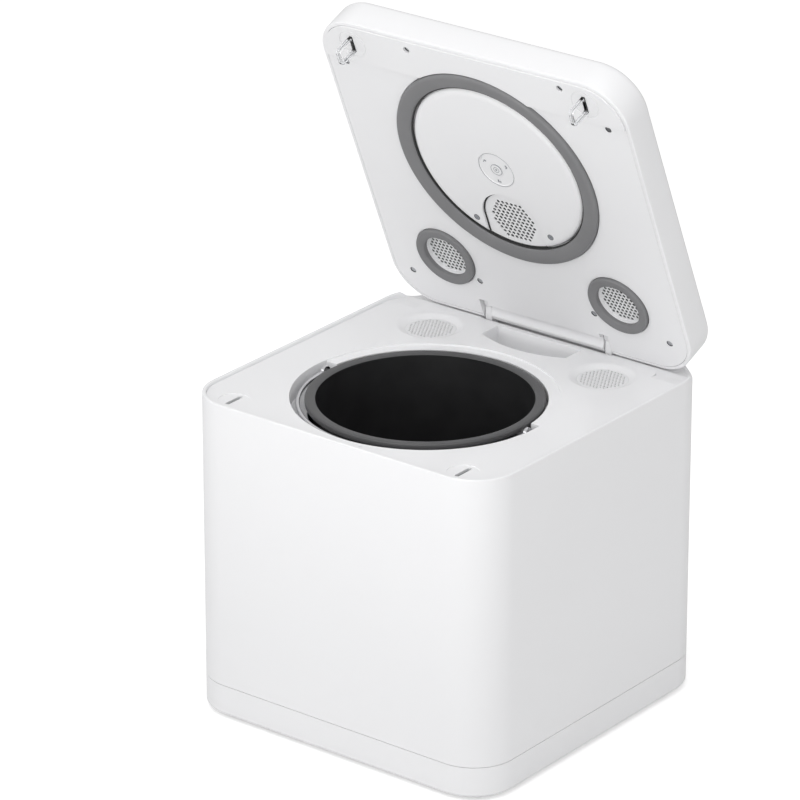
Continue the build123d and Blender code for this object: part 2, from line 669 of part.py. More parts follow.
with BuildPart() as lid_inner_panel:
    with BuildSketch(Plane.XY.offset(lid_under)):
        RectangleRounded(panel_width, panel_depth, panel_corner)
    extrude(amount=panel_wall)
    with BuildSketch(Plane.XY.offset(lid_under - band_height)):
        RectangleRounded(panel_width, panel_depth, panel_corner)
        with Locations((0, band_edge + depth / 2)):
            Rectangle(width, depth, mode=Mode.SUBTRACT)
    extrude(amount=band_height)
    # seats of the main gasket, the side gaskets and the hinge
    with BuildSketch(Plane.XY.offset(lid_under)):
        with Locations((0, bucket_y)):
            Circle(gasket_outer + seat_rim)
    extrude(amount=ring_seat_top - lid_under)
    with BuildSketch(Plane.XY.offset(lid_under)):
        with Locations((-side_x, side_y), (side_x, side_y)):
            Circle(side_outer + seat_rim)
    extrude(amount=duct_bottom - lid_under)
    with BuildSketch(Plane.XY.offset(lid_under)):
        with Locations((0, (scoop_front - seat_rim + panel_depth / 2) / 2)):
            Rectangle(2 * scoop_half + seat_rim, panel_depth / 2 - scoop_front + seat_rim)
    extrude(amount=scoop_depth + seat_wall)
    for place in knuckle_places:
        with BuildSketch(Plane.YZ.offset(place)):
            with Locations((hinge_y, hinge_z)):
                Circle(eye_radius)
            with Locations((hinge_y, (hinge_z + lid_under) / 2)):
                Rectangle(2 * eye_radius, hinge_z - lid_under)
        extrude(amount=knuckle_width / 2, both=True)
    # hollow scoop in front of the hinge
    with BuildSketch(Plane.YZ):
        with BuildLine():
            Polyline((scoop_back, lid_under), (scoop_back, lid_under - seat_wall),
                     (scoop_front, lid_under - seat_wall), (scoop_front, lid_under + scoop_depth - scoop_lip))
            ThreePointArc((scoop_front, lid_under + scoop_depth - scoop_lip),
                          (scoop_front + 0.45 * scoop_length, lid_under + 0.7 * scoop_depth),
                          (scoop_back, lid_under))
        make_face()
    extrude(amount=scoop_half, both=True, mode=Mode.SUBTRACT)
    # gasket seats, the round opening, grille openings
    with BuildSketch(Plane.XY.offset(lid_under - band_height)):
        with Locations((0, bucket_y)):
            Circle(gasket_outer + seat_gap)
    extrude(amount=gasket_seat + band_height, mode=Mode.SUBTRACT)
    with BuildSketch(Plane.XY.offset(lid_under)):
        with Locations((-side_x, side_y), (side_x, side_y)):
            Circle(side_outer + seat_gap)
    extrude(amount=side_seat, mode=Mode.SUBTRACT)
    with BuildSketch(Plane.XY.offset(lid_under)):
        with Locations((0, bucket_y)):
            Circle(hole_radius)
        with Locations((-side_x, side_y), (side_x, side_y)):
            Circle(side_inner)
    extrude(amount=2 * groove_depth, mode=Mode.SUBTRACT)
    with BuildSketch(Plane.XY.offset(panel_top + side_seat)):
        with Locations((-side_x, side_y), (side_x, side_y)):
            Circle(side_inner + grille_lap + fit_gap)
    extrude(amount=groove_depth, mode=Mode.SUBTRACT)
    # lug slots, pin bores, latch slots and screw holes
    with BuildSketch(Plane.XY.offset(lid_under - band_height)):
        with Locations((-lug_spread / 2, hinge_y), (lug_spread / 2, hinge_y)):
            Rectangle(lug_slot, 2 * (eye_radius + 0.8))
        with Locations((-lug_spread / 2, depth / 2), (lug_spread / 2, depth / 2)):
            Rectangle(lug_slot, 2 * hinge_inset)
    extrude(amount=lid_thickness, mode=Mode.SUBTRACT)
    with BuildSketch(Plane.YZ):
        with Locations((hinge_y, hinge_z)):
            Circle(pin_radius)
    extrude(amount=width / 2, both=True, mode=Mode.SUBTRACT)
    with BuildSketch(Plane.XY.offset(lid_under - band_height)):
        with Locations((-latch_x, latch_y), (latch_x, latch_y)):
            Circle(dimple_radius)
            Circle(dimple_radius - dimple_ring, mode=Mode.SUBTRACT)
    extrude(amount=dimple_depth, mode=Mode.SUBTRACT)
    with BuildSketch(Plane.XY.offset(lid_under - band_height)):
        with Locations((-latch_x, latch_y), (latch_x, latch_y)):
            Rectangle(loop_wall, loop_width)
        with Locations(*lid_screw_places):
            Circle(lid_screw_radius)
    extrude(amount=2 * panel_wall + band_height, mode=Mode.SUBTRACT)
save_lid("lid_inner_panel", lid_inner_panel.part)

# Lid screws: recessed heads with their shanks going up into the cover --------
screw_recess = 1.6
with BuildPart() as lid_screws:
    with BuildSketch(Plane.XY.offset(lid_under + screw_recess)):
        with Locations(*lid_screw_places):
            Circle(lid_screw_radius)
    extrude(amount=panel_wall - screw_recess)
    with BuildSketch(Plane.XY.offset(panel_top)):
        with Locations(*lid_screw_places):
            Circle(lid_screw_radius * 0.6)
    extrude(amount=lid_thickness - panel_wall - lid_wall)
save_lid("lid_screws", lid_screws.part)

# Gaskets --------------------------------------------------------------------


def gasket(centre, outer, inner, seat, height, high_side):
    """Rubber ring: flat base in its seat and a bulged, one-sided lip below."""
    base = lid_under + seat
    tip = lid_under - height
    with BuildPart() as ring:
        with BuildSketch(Plane((centre[0], centre[1], 0), x_dir=(1, 0, 0), z_dir=(0, -1, 0))):
            with BuildLine():
                Polyline((inner, lid_under - 1.0), (inner, base), (outer, base), (outer, lid_under - 1.4))
                Spline((outer, lid_under - 1.4), (high_side, tip), (inner, lid_under - 1.0),
                       tangents=[(0, -1), (-1, 1.2)])
            make_face()
        revolve(axis=Axis((centre[0], centre[1], 0), (0, 0, 1)))
    return ring.part


save_lid("main_gasket", gasket((0, bucket_y), gasket_outer, gasket_inner, gasket_seat,
                               gasket_height, gasket_outer - 3.4))
for side, direction in sides:
    save_lid("side_gasket_" + side, gasket((direction * side_x, side_y), side_outer, side_inner,
                                           side_seat, side_height, side_outer - 2.6))

# Steam plate: dished disc inside the main gasket, with the arch cut out -------
plate_z = lid_under - plate_height
flange_z = lid_under + groove_depth
with BuildPart() as steam_plate:
    with BuildSketch(Plane((0, bucket_y, 0), x_dir=(1, 0, 0), z_dir=(0, -1, 0))):
        with BuildLine():
            Line((0, plate_z), (plate_radius - 2, plate_z))
            Spline((plate_radius - 2, plate_z), (hole_radius - plate_gap, flange_z),
                   tangents=[(1, 0), (0, 1)])
            Polyline((hole_radius - plate_gap, flange_z), (hole_radius - plate_gap, ring_seat_top),
                     (gasket_outer - 4, ring_seat_top), (gasket_outer - 4, ring_seat_top + plate_wall),
                     (plate_radius - 2, ring_seat_top + plate_wall), (plate_radius - 4, plate_z + plate_wall),
                     (0, plate_z + plate_wall), (0, plate_z))
        make_face()
    revolve(axis=Axis((0, bucket_y, 0), (0, 0, 1)))
    with BuildSketch(Plane.XY.offset(plate_z)):
        with Locations((0, arch_y)):
            Circle(arch_radius)
        with Locations((0, arch_y + width / 4)):
            Rectangle(2 * arch_radius, width / 2)
        with Locations((0, bucket_y)):
            Circle(hole_radius - plate_gap, mode=Mode.INTERSECT)
    extrude(amount=groove_depth + 2 * plate_height, mode=Mode.SUBTRACT)
    with Locations((0, bucket_y, plate_z)):
        Cylinder(cap_radius + 0.1, 2 * plate_height, mode=Mode.SUBTRACT)
save_lid("steam_plate", steam_plate.part)

# Steam grille: arch-shaped insert with a perforated round field ---------------
steam_pitch = 3.9
steam_row = 3.2
steam_hole = (2.5, 1.2)
pocket_depth = 2.2
steam_field = 18.9
with BuildPart() as steam_grille:
    with BuildSketch(Plane((0, arch_y, plate_z + pocket_depth))):
        Circle(arch_radius)
        with Locations((0, width / 4)):
            Rectangle(2 * arch_radius, width / 2)
        with Locations((0, bucket_y - arch_y)):
            Circle(hole_radius - plate_gap - fit_gap, mode=Mode.INTERSECT)
        with Locations(*staggered(steam_pitch, steam_row, steam_field)):
            Rectangle(*steam_hole, rotation=-20, mode=Mode.SUBTRACT)
    extrude(amount=grille_wall)
save_lid("steam_grille", steam_grille.part)

with BuildPart() as centre_cap:
    with BuildSketch(Plane((0, bucket_y, plate_z + plate_height))):
        Circle(cap_radius)
    extrude(amount=-plate_height)
    with BuildSketch(Plane((0, bucket_y, plate_z))):
        Circle(cap_radius - 1.2)
        Circle(4.6, mode=Mode.SUBTRACT)
    extrude(amount=0.5, mode=Mode.SUBTRACT)
save_lid("centre_cap", centre_cap.part)

# Lid grilles inside the side gaskets ------------------------------------------
side_pitch = 4.0
side_hole = 2.5
for side, direction in sides:
    with BuildPart() as lid_grille:
        with BuildSketch(Plane((direction * side_x, side_y, panel_top + side_seat))):
            Circle(side_inner + grille_lap)
            with Locations(*staggered(side_pitch, side_pitch * 0.85, side_inner - 1.5)):
                Rectangle(side_hole, side_hole, mode=Mode.SUBTRACT)
        extrude(amount=grille_wall)
    save_lid("lid_grille_" + side, lid_grille.part)

# Latch loops: clear plates with a window for the bolt --------------------------
loop_bottom = lid_under - loop_drop
loop_root = lid_under - band_height
for side, direction in sides:
    with BuildPart() as latch_loop:
        with BuildSketch(Plane.YZ.offset(direction * latch_x)):
            with Locations((latch_y, (loop_bottom + panel_top) / 2)):
                Rectangle(loop_width, panel_top - loop_bottom)
        extrude(amount=loop_wall / 2, both=True)
        fillet(latch_loop.edges().filter_by(Axis.X).group_by(Axis.Z)[0], radius=loop_tip)
        with BuildSketch(Plane.YZ.offset(direction * latch_x)):
            with Locations((latch_y, (loop_bottom + loop_frame + loop_root - 1) / 2)):
                RectangleRounded(loop_width - 2 * loop_frame, loop_root - 1 - loop_bottom - loop_frame, 2)
        extrude(amount=loop_wall, both=True, mode=Mode.SUBTRACT)
        with BuildSketch(Plane.XY.offset(panel_top)):
            with Locations((direction * latch_x, latch_y)):
                RectangleRounded(12, loop_width + 4, 2)
        extrude(amount=2)
    save_lid("latch_loop_" + side, latch_loop.part)

# Latch cases and bolts under the deck ------------------------------------------
bolt_bottom = loop_bottom + bolt_rise
bolt_middle = bolt_bottom + bolt_size / 2
bolt_tip = latch_x - loop_wall / 2 - bolt_rest
case_inner = bolt_tip - bolt_length - case_tail
case_outer = latch_x + loop_wall / 2 + case_nose
case_top = deck_top - deck_thickness
case_half = slot_length / 2 + case_margin
for side, direction in sides:
    with BuildPart() as latch_case:
        with BuildSketch(Plane.XY.offset(case_top)):
            with Locations((direction * (case_inner + case_outer) / 2, latch_y)):
                RectangleRounded(case_outer - case_inner, 2 * case_half, 2)
        extrude(amount=-case_height)
        with BuildSketch(Plane.XY.offset(case_top)):
            with Locations((direction * latch_x, latch_y)):
                SlotOverall(slot_length, slot_width, rotation=90)
        extrude(amount=-case_height + 2, mode=Mode.SUBTRACT)
        with BuildSketch(Plane.YZ.offset(direction * (bolt_tip - bolt_length - 2))):
            with Locations((latch_y, bolt_middle)):
                Rectangle(bolt_size + 2 * run_gap, bolt_size + 2 * run_gap)
        extrude(amount=direction * (bolt_length + bolt_travel + 4), mode=Mode.SUBTRACT)
    save("latch_case_" + side, latch_case.part)
    with BuildPart() as latch_bolt:
        with BuildSketch(Plane.YZ.offset(direction * (bolt_tip - bolt_length))):
            with Locations((latch_y, bolt_middle)):
                Rectangle(bolt_size, bolt_size)
        extrude(amount=direction * bolt_length)
        nose = latch_bolt.faces().sort_by(Axis.X)[-1 if direction > 0 else 0]
        chamfer(nose.edges(), length=1.0)
    save("latch_bolt_" + side, latch_bolt.part)

# Lid duct: closed channel from the steam grille to the two side grilles ----------
duct_height = 12.0
duct_wall = 1.6
duct_side = side_x + 18.0
duct_back = side_y + 20.0
duct_front = arch_y - 17.3
duct_fork = side_y - 18.5
duct_port = 16.0


def duct_outline(shrink=0.0):
    """V-shaped plan of the duct, drawn in by shrink."""
    with BuildSketch() as plan:
        with BuildLine():
            Polyline((-arch_radius, duct_front), (arch_radius, duct_front), (duct_side, side_y - 22),
                     (duct_side, duct_back), (side_x - 20, duct_back), (side_x - 54, duct_fork),
                     (54 - side_x, duct_fork), (20 - side_x, duct_back), (-duct_side, duct_back),
                     (-duct_side, side_y - 22), close=True)
        make_face()
        fillet(plan.vertices(), radius=4)
        if shrink:
            offset(amount=-shrink, mode=Mode.REPLACE)
    return plan.sketch


with BuildPart() as lid_duct:
    with BuildSketch(Plane.XY.offset(duct_bottom)):
        add(duct_outline())
    extrude(amount=duct_height)
    with BuildSketch(Plane.XY.offset(duct_bottom + duct_wall)):
        add(duct_outline(duct_wall))
    extrude(amount=duct_height - 2 * duct_wall, mode=Mode.SUBTRACT)
    with BuildSketch(Plane.XY.offset(duct_bottom)):
        with Locations((0, arch_y + 2), (-side_x, side_y), (side_x, side_y)):
            Circle(duct_port)
    extrude(amount=duct_wall, mode=Mode.SUBTRACT)
save_lid("lid_duct", lid_duct.part)

# Control board and its touch lens -------------------------------------------------
control_y = 43.0 - depth / 2
control_size = (84.0, 26.0)
with BuildPart() as control_lens:
    with BuildSketch(Plane((0, control_y, lid_top))):
        RectangleRounded(*control_size, 8)
    extrude(amount=0.4)
save_lid("control_lens", control_lens.part)

with BuildPart() as control_board:
    with BuildSketch(Plane((0, control_y, lid_top - lid_wall))):
        Rectangle(control_size[0] - 6, control_size[1] - 4)
    extrude(amount=-board_wall)
    with BuildSketch(Plane((0, control_y, lid_top - lid_wall - board_wall))):
        with GridLocations(22, 0, 3, 1):
            Rectangle(9, 9)
    extrude(amount=-2.2)
save_lid("control_board", control_board.part)

# Bucket well and heater -----------------------------------------------------------
well_top = channel_floor - channel_wall
with BuildPart() as well_floor:
    with BuildSketch(Plane((0, bucket_y, well_floor_height))):
        Circle(well_radius + well_wall)
        Circle(well_hole_radius, mode=Mode.SUBTRACT)
    extrude(amount=well_wall)
save("well_floor", well_floor.part)

with BuildPart() as bucket_well:
    with BuildSketch(Plane((0, bucket_y, well_floor_height + well_wall))):
        Circle(well_radius + well_wall)
        Circle(well_radius, mode=Mode.SUBTRACT)
    extrude(amount=well_top - well_floor_height - well_wall)
save("bucket_well", bucket_well.part)

heater_height = 52.0
heater_rise = 10.0
with BuildPart() as band_heater:
    with BuildSketch(Plane((0, bucket_y, well_floor_height + heater_rise))):
        Circle(well_radius + well_wall + 2.4)
        Circle(well_radius + well_wall, mode=Mode.SUBTRACT)
        with Locations((0, -well_radius)):
            Rectangle(6, 12, mode=Mode.SUBTRACT)
    extrude(amount=heater_height)
    with BuildSketch(Plane((0, bucket_y, well_floor_height + heater_rise))):
        with Locations((-7, -well_radius - 5), (7, -well_radius - 5)):
            Rectangle(4, 6)
    extrude(amount=heater_height)
save("band_heater", band_heater.part)

# Bucket -----------------------------------------------------------------------------
floor_radius = mouth_radius - bucket_draft
shaft_bore = 5.0
bush_radius = 8.0
bucket_top = ring_top - 1.0
with BuildPart() as bucket:
    with BuildSketch(Plane((0, bucket_y, 0), x_dir=(1, 0, 0), z_dir=(0, -1, 0))):
        with BuildLine():
            Polyline((mouth_radius, bucket_top), (floor_radius, bucket_bottom + bucket_wall + bucket_floor_round))
            TangentArc((floor_radius, bucket_bottom + bucket_wall + bucket_floor_round),
                       (floor_radius - bucket_floor_round, bucket_bottom + bucket_wall), tangent=(0, -1))
            Polyline((floor_radius - bucket_floor_round, bucket_bottom + bucket_wall),
                     (tube_radius, bucket_bottom + bucket_wall), (tube_radius, bucket_bottom + tube_height),
                     (bush_radius, bucket_bottom + tube_height),
                     (bush_radius, bucket_bottom + tube_height - bucket_wall),
                     (tube_radius - bucket_wall, bucket_bottom + tube_height - bucket_wall),
                     (tube_radius - bucket_wall, bucket_bottom),
                     (floor_radius - bucket_floor_round, bucket_bottom))
            TangentArc((floor_radius - bucket_floor_round, bucket_bottom),
                       (floor_radius + bucket_wall, bucket_bottom + bucket_wall + bucket_floor_round),
                       tangent=(1, 0))
            Polyline((floor_radius + bucket_wall, bucket_bottom + bucket_wall + bucket_floor_round),
                     (mouth_radius + bucket_wall, bucket_top), (mouth_radius, bucket_top))
        make_face()
    revolve(axis=Axis((0, bucket_y, 0), (0, 0, 1)))
save("bucket", bucket.part)

ear_length_x = bail_radius - max(bail_eye_width / 2, bail_wire) - 0.4
with BuildPart() as bucket_rim:
    with BuildSketch(Plane((0, bucket_y, 0), x_dir=(1, 0, 0), z_dir=(0, -1, 0))):
        with BuildLine():
            Polyline((mouth_radius, bucket_top), (mouth_radius + bucket_wall, bucket_top),
                     (mouth_radius + bucket_wall, ring_top - ring_height),
                     (ring_radius - 1.2, ring_top - ring_height), (ring_radius, ring_top - ring_height + 1.2),
                     (ring_radius, ring_top - 1.6))
            Spline((ring_radius, ring_top - 1.6), ((mouth_radius + ring_radius) / 2 + 1.0, ring_top),
                   (mouth_radius, bucket_top), tangents=[(0, 1), (-1, -0.45)])
        make_face()
    revolve(axis=Axis((0, bucket_y, 0), (0, 0, 1)))
    for side, direction in sides:
        with BuildSketch(Plane.YZ.offset(direction * (ring_radius - 1.5))):
            with Locations((bucket_y, pivot_z)):
                Circle(ear_radius)
                with Locations((0, ring_height)):
                    Rectangle(2 * ear_radius, 2 * (ring_height - ring_top + pivot_z + 4.0),
                              mode=Mode.SUBTRACT)
        extrude(amount=direction * (ear_length_x - ring_radius + 1.5))
        with BuildSketch(Plane.YZ.offset(direction * (ring_radius - 1.5))):
            with Locations((bucket_y, pivot_z)):
                Circle(bail_pin_radius)
        extrude(amount=direction * (bail_radius + bail_eye_width / 2 + 0.8 - ring_radius + 1.5))
save("bucket_rim", bucket_rim.part)

# Bail handle: wire half ring with flattened eyes, folded round the front ------------
with BuildPart() as bail_handle:
    with BuildLine() as bail_path:
        ThreePointArc((-bail_radius, bucket_y, pivot_z), (0, bucket_y - bail_radius, pivot_z),
                      (bail_radius, bucket_y, pivot_z))
    with BuildSketch(Plane((-bail_radius, bucket_y, pivot_z), z_dir=(0, -1, 0))):
        Circle(bail_wire)
    sweep(path=bail_path.line)
    for side, direction in sides:
        with BuildSketch(Plane.YZ.offset(direction * bail_radius)):
            with Locations((bucket_y, pivot_z)):
                Circle(bail_eye_radius)
        extrude(amount=bail_eye_width / 2, both=True)
    with BuildSketch(Plane.YZ):
        with Locations((bucket_y, pivot_z)):
            Circle(bail_pin_radius + run_gap)
    extrude(amount=width / 2, both=True, mode=Mode.SUBTRACT)
save("bail_handle", bail_handle.part)

# Stirrer: hub over the tube with three stepped, twisted blades ------------------------
hub_radius = 17.0
hub_gap = 1.0
hub_lift = 1.5  # above the bucket's floor
hub_height = 52.0
hub_roof = 6.0  # over the shaft
hub_round = 4.0
blade_gap = 4.0  # to the bucket's wall
blade_lift = 13.5  # lowest blade's middle above the hub's bottom
blade_step = 13.0
blade_sink = 6.0  # root inside the hub
blade_droop = 1.0
root_chord = 20.0
root_thick = 6.0
root_round = 2.5
tip_chord = 15.0
tip_thick = 3.5
tip_round = 1.5
hub_bottom = bucket_bottom + bucket_wall + hub_lift
hub_top = bucket_bottom + hub_height
blade_reach = floor_radius - blade_gap
shaft_top = hub_top - hub_roof
with BuildPart() as stirrer:
    with BuildSketch(Plane((0, bucket_y, hub_bottom))):
        Circle(hub_radius)
    extrude(amount=hub_top - hub_bottom, taper=4)
    fillet(stirrer.edges().group_by(Axis.Z)[-1], radius=hub_round)
    for turn in range(3):
        heading = 120.0 * turn + 30.0
        out = (cos(radians(heading)), sin(radians(heading)), 0.0)
        middle = hub_bottom + blade_lift + blade_step * turn
        root_reach = hub_radius - blade_sink
        root = Plane((out[0] * root_reach, bucket_y + out[1] * root_reach, middle),
                     x_dir=(0, 0, 1), z_dir=out)
        tip = Plane((out[0] * blade_reach, bucket_y + out[1] * blade_reach, middle - blade_droop),
                    x_dir=(0, 0, 1), z_dir=out)
        with BuildSketch(root):
            RectangleRounded(root_chord, root_thick, root_round, rotation=12)
        with BuildSketch(tip):
            RectangleRounded(tip_chord, tip_thick, tip_round, rotation=48)
        loft()
    with BuildSketch(Plane((0, bucket_y, hub_bottom))):
        Circle(tube_radius + hub_gap)
    extrude(amount=bucket_bottom + tube_height + hub_gap - hub_bottom, mode=Mode.SUBTRACT)
    with BuildSketch(Plane((0, bucket_y, hub_bottom))):
        Circle(shaft_bore)
    extrude(amount=shaft_top - hub_bottom, mode=Mode.SUBTRACT)
save("stirrer", stirrer.part)

coupling_lift = 2.5
coupling_gap = 1.5  # under the tube's roof
coupling_play = 1.2  # round it
coupling_roof = 4.0
coupling_bottom = bucket_bottom + coupling_lift
coupling_top = bucket_bottom + tube_height - bucket_wall - coupling_gap
square_top = coupling_top - coupling_roof
with BuildPart() as stirrer_coupling:
    with BuildSketch(Plane((0, bucket_y, coupling_bottom))):
        Circle(tube_radius - bucket_wall - coupling_play)
        Rectangle(square_size + 2 * square_gap, square_size + 2 * square_gap, mode=Mode.SUBTRACT)
    extrude(amount=square_top - coupling_bottom)
    with BuildSketch(Plane((0, bucket_y, square_top))):
        Circle(tube_radius - bucket_wall - coupling_play)
    extrude(amount=coupling_top - square_top)
    with BuildSketch(Plane((0, bucket_y, coupling_top))):
        Circle(shaft_bore)
    extrude(amount=shaft_top - coupling_top)
save("stirrer_coupling", stirrer_coupling.part)

with BuildPart() as shaft_bush:
    with BuildSketch(Plane((0, bucket_y, bucket_bottom + tube_height - bucket_wall))):
        Circle(bush_radius)
        Circle(shaft_bore + run_gap, mode=Mode.SUBTRACT)
    extrude(amount=bucket_wall)
save("shaft_bush", shaft_bush.part)

# Drive: chassis plate, gearbox, gears and motor -----------------------------------------
gear_radius = gear_module * gear_teeth / 2
pinion_radius = gear_module * pinion_teeth / 2
gear_bottom = chassis_top + gear_lift
case_inside = well_floor_height - case_wall
chassis_middle = (chassis_front + chassis_back) / 2
motor_gap = 1.5
rib_spread = 120.0
rib_inset = 13.0
rib_height = 8.0

with BuildPart() as chassis_plate:
    with BuildSketch(Plane.XY.offset(chassis_height)):
        with Locations((0, chassis_middle)):
            RectangleRounded(width - 2 * chassis_inset_x, chassis_back - chassis_front, 16)
        with Locations((0, motor_y)):
            Circle(motor_radius + motor_gap, mode=Mode.SUBTRACT)
    extrude(amount=chassis_wall)
    with BuildSketch(Plane.XY.offset(chassis_height)):
        with GridLocations(rib_spread, 0, 2, 1):
            with Locations((0, chassis_middle)):
                Rectangle(3, chassis_back - chassis_front - 2 * rib_inset)
    extrude(amount=-rib_height)
save("chassis_plate", chassis_plate.part)


def gearbox_outline(grow=0.0):
    """Hull of the two gears, seen from above."""
    with Locations((0, bucket_y)):
        Circle(gear_radius + 4 + grow)
    with Locations((0, motor_y)):
        Circle(pinion_radius + 5 + grow)


with BuildPart() as gearbox_case:
    with BuildSketch(Plane.XY.offset(chassis_top)):
        gearbox_outline(case_wall)
        make_hull()
    extrude(amount=case_inside - chassis_top)
    with BuildSketch(Plane.XY.offset(chassis_top + case_wall)):
        gearbox_outline()
        make_hull()
    extrude(amount=case_inside - chassis_top, mode=Mode.SUBTRACT)
    with BuildSketch(Plane.XY.offset(chassis_top)):
        with Locations((0, bucket_y)):
            Circle(shaft_radius + run_gap)
        with Locations((0, motor_y)):
            Circle(motor_shaft + 0.5)
    extrude(amount=case_wall, mode=Mode.SUBTRACT)
save("gearbox_case", gearbox_case.part)

with BuildPart() as gearbox_cover:
    with BuildSketch(Plane.XY.offset(case_inside)):
        gearbox_outline(case_wall)
        make_hull()
        with Locations((0, bucket_y)):
            Circle(shaft_radius + run_gap, mode=Mode.SUBTRACT)
    extrude(amount=case_wall)
save("gearbox_cover", gearbox_cover.part)


def spur_gear(teeth, phase):
    """Spur gear outline: root disc plus one tapered tooth per pitch."""
    pitch = gear_module * teeth / 2
    root = pitch - 1.25 * gear_module
    tip = pitch + 0.9 * gear_module
    half = gear_module * pi / 4 - tooth_backlash / 2
    with BuildSketch() as tooth:
        with BuildLine():
            Polyline((root - 0.6, half * 1.5), (pitch, half), (tip, half * 0.55), (tip, -half * 0.55),
                     (pitch, -half), (root - 0.6, -half * 1.5), close=True)
        make_face()
    with BuildSketch() as gear:
        Circle(root)
        with PolarLocations(0, teeth, start_angle=phase):
            add(tooth.sketch)
    return gear.sketch


square_base = coupling_bottom - 0.5
with BuildPart() as drive_gear:
    with BuildSketch(Plane((0, bucket_y, gear_bottom))):
        add(spur_gear(gear_teeth, 90 + 180 / gear_teeth))
    extrude(amount=gear_width)
    with BuildSketch(Plane((0, bucket_y, chassis_top + 0.3))):
        Circle(shaft_radius)
    extrude(amount=square_base - chassis_top - 0.3)
    with BuildSketch(Plane((0, bucket_y, square_base))):
        Rectangle(square_size, square_size)
    extrude(amount=square_top - 0.5 - square_base)
save("drive_gear", drive_gear.part)

with BuildPart() as motor_pinion:
    with BuildSketch(Plane((0, motor_y, gear_bottom - 1))):
        add(spur_gear(pinion_teeth, -90))
        Circle(motor_shaft, mode=Mode.SUBTRACT)
    extrude(amount=gear_width + 2)
save("motor_pinion", motor_pinion.part)

with BuildPart() as motor_shaft_rod:
    with BuildSketch(Plane((0, motor_y, chassis_top - 3.5))):
        Circle(motor_shaft)
    extrude(amount=gear_bottom + gear_width - chassis_top + 5)
save("motor_shaft", motor_shaft_rod.part)

with BuildPart() as drive_motor:
    with BuildSketch(Plane((0, motor_y, chassis_top))):
        Circle(motor_radius)
    extrude(amount=-motor_height)
    fillet(drive_motor.edges().group_by(Axis.Z)[0], radius=3)
    with BuildSketch(Plane((0, motor_y, chassis_top))):
        Circle(motor_shaft + run_gap)
    extrude(amount=-6, mode=Mode.SUBTRACT)
save("drive_motor", drive_motor.part)

# Air path: filters, plenum, fan and exhaust grille ------------------------------------------
for side, direction in sides:
    with BuildPart() as carbon_filter:
        with BuildSketch(Plane((direction * side_x, side_y, plenum_top))):
            Circle(filter_radius)
        extrude(amount=filter_top - plenum_top)
        for level in (plenum_top, filter_top - 6):
            with BuildSketch(Plane((direction * side_x, side_y, level))):
                Circle(filter_radius + filter_rim)
            extrude(amount=6)
        with BuildSketch(Plane((direction * side_x, side_y, filter_top))):
            Circle(dish_floor_radius - grille_ledge)
        extrude(amount=-4, mode=Mode.SUBTRACT)
    save("carbon_filter_" + side, carbon_filter.part)

plenum_corner = 8.0
filter_port = 8.0
fan_port = 13.0
with BuildPart() as filter_plenum:
    with BuildSketch(Plane.XY.offset(plenum_height)):
        with Locations((0, plenum_middle)):
            RectangleRounded(2 * plenum_half, fan_front - plenum_front, plenum_corner)
    extrude(amount=plenum_top - plenum_height)
    with BuildSketch(Plane.XY.offset(plenum_height + plenum_wall)):
        with Locations((0, plenum_middle)):
            RectangleRounded(2 * (plenum_half - plenum_wall), fan_front - plenum_front - 2 * plenum_wall,
                             plenum_corner - plenum_wall)
    extrude(amount=plenum_top - plenum_height - 2 * plenum_wall, mode=Mode.SUBTRACT)
    with BuildSketch(Plane.XY.offset(plenum_top)):
        with Locations((-side_x, side_y), (side_x, side_y)):
            Circle(filter_port)
    extrude(amount=-plenum_wall, mode=Mode.SUBTRACT)
    with BuildSketch(Plane.XZ.offset(-fan_front)):
        with Locations((0, fan_height)):
            Circle(fan_port)
    extrude(amount=plenum_wall, mode=Mode.SUBTRACT)
save("filter_plenum", filter_plenum.part)

fan_back = fan_front + fan_depth
fan_hub = 11.0
fan_reach = fan_size / 2 - 3.5
with BuildPart() as fan_housing:
    with BuildSketch(Plane.XZ.offset(-fan_back)):
        with Locations((0, fan_height)):
            RectangleRounded(fan_size, fan_size, 4)
            Circle(fan_reach + 1, mode=Mode.SUBTRACT)
    extrude(amount=fan_depth)
    with BuildSketch(Plane.XZ.offset(-fan_back)):
        with Locations((0, fan_height)):
            Circle(fan_hub)
            with PolarLocations((fan_hub + fan_reach) / 2, 4, start_angle=45):
                Rectangle(fan_reach - fan_hub + 4, 3)
            Circle(2.0, mode=Mode.SUBTRACT)
    extrude(amount=2)
save("fan_housing", fan_housing.part)

with BuildPart() as fan_impeller:
    with BuildSketch(Plane.XZ.offset(-fan_back + 2.4)):
        with Locations((0, fan_height)):
            Circle(fan_hub)
    extrude(amount=fan_depth - 4)
    for turn in range(7):
        angle = radians(turn * 360 / 7)
        out = Vector(cos(angle), 0, sin(angle))
        blade_middle = fan_back - fan_depth / 2 - 0.4
        with BuildSketch(Plane((out.X * (fan_hub - 1), blade_middle, fan_height + out.Z * (fan_hub - 1)),
                               x_dir=(0, 1, 0), z_dir=(out.X, 0, out.Z))):
            Rectangle(11, 1.2, rotation=35)
        with BuildSketch(Plane((out.X * fan_reach, blade_middle, fan_height + out.Z * fan_reach),
                               x_dir=(0, 1, 0), z_dir=(out.X, 0, out.Z))):
            Rectangle(11, 1.2, rotation=55)
        loft()
    with BuildSketch(Plane.XZ.offset(-fan_back + 0.2)):
        with Locations((0, fan_height)):
            Circle(2.0 - run_gap)
    extrude(amount=3)
save("fan_impeller", fan_impeller.part)

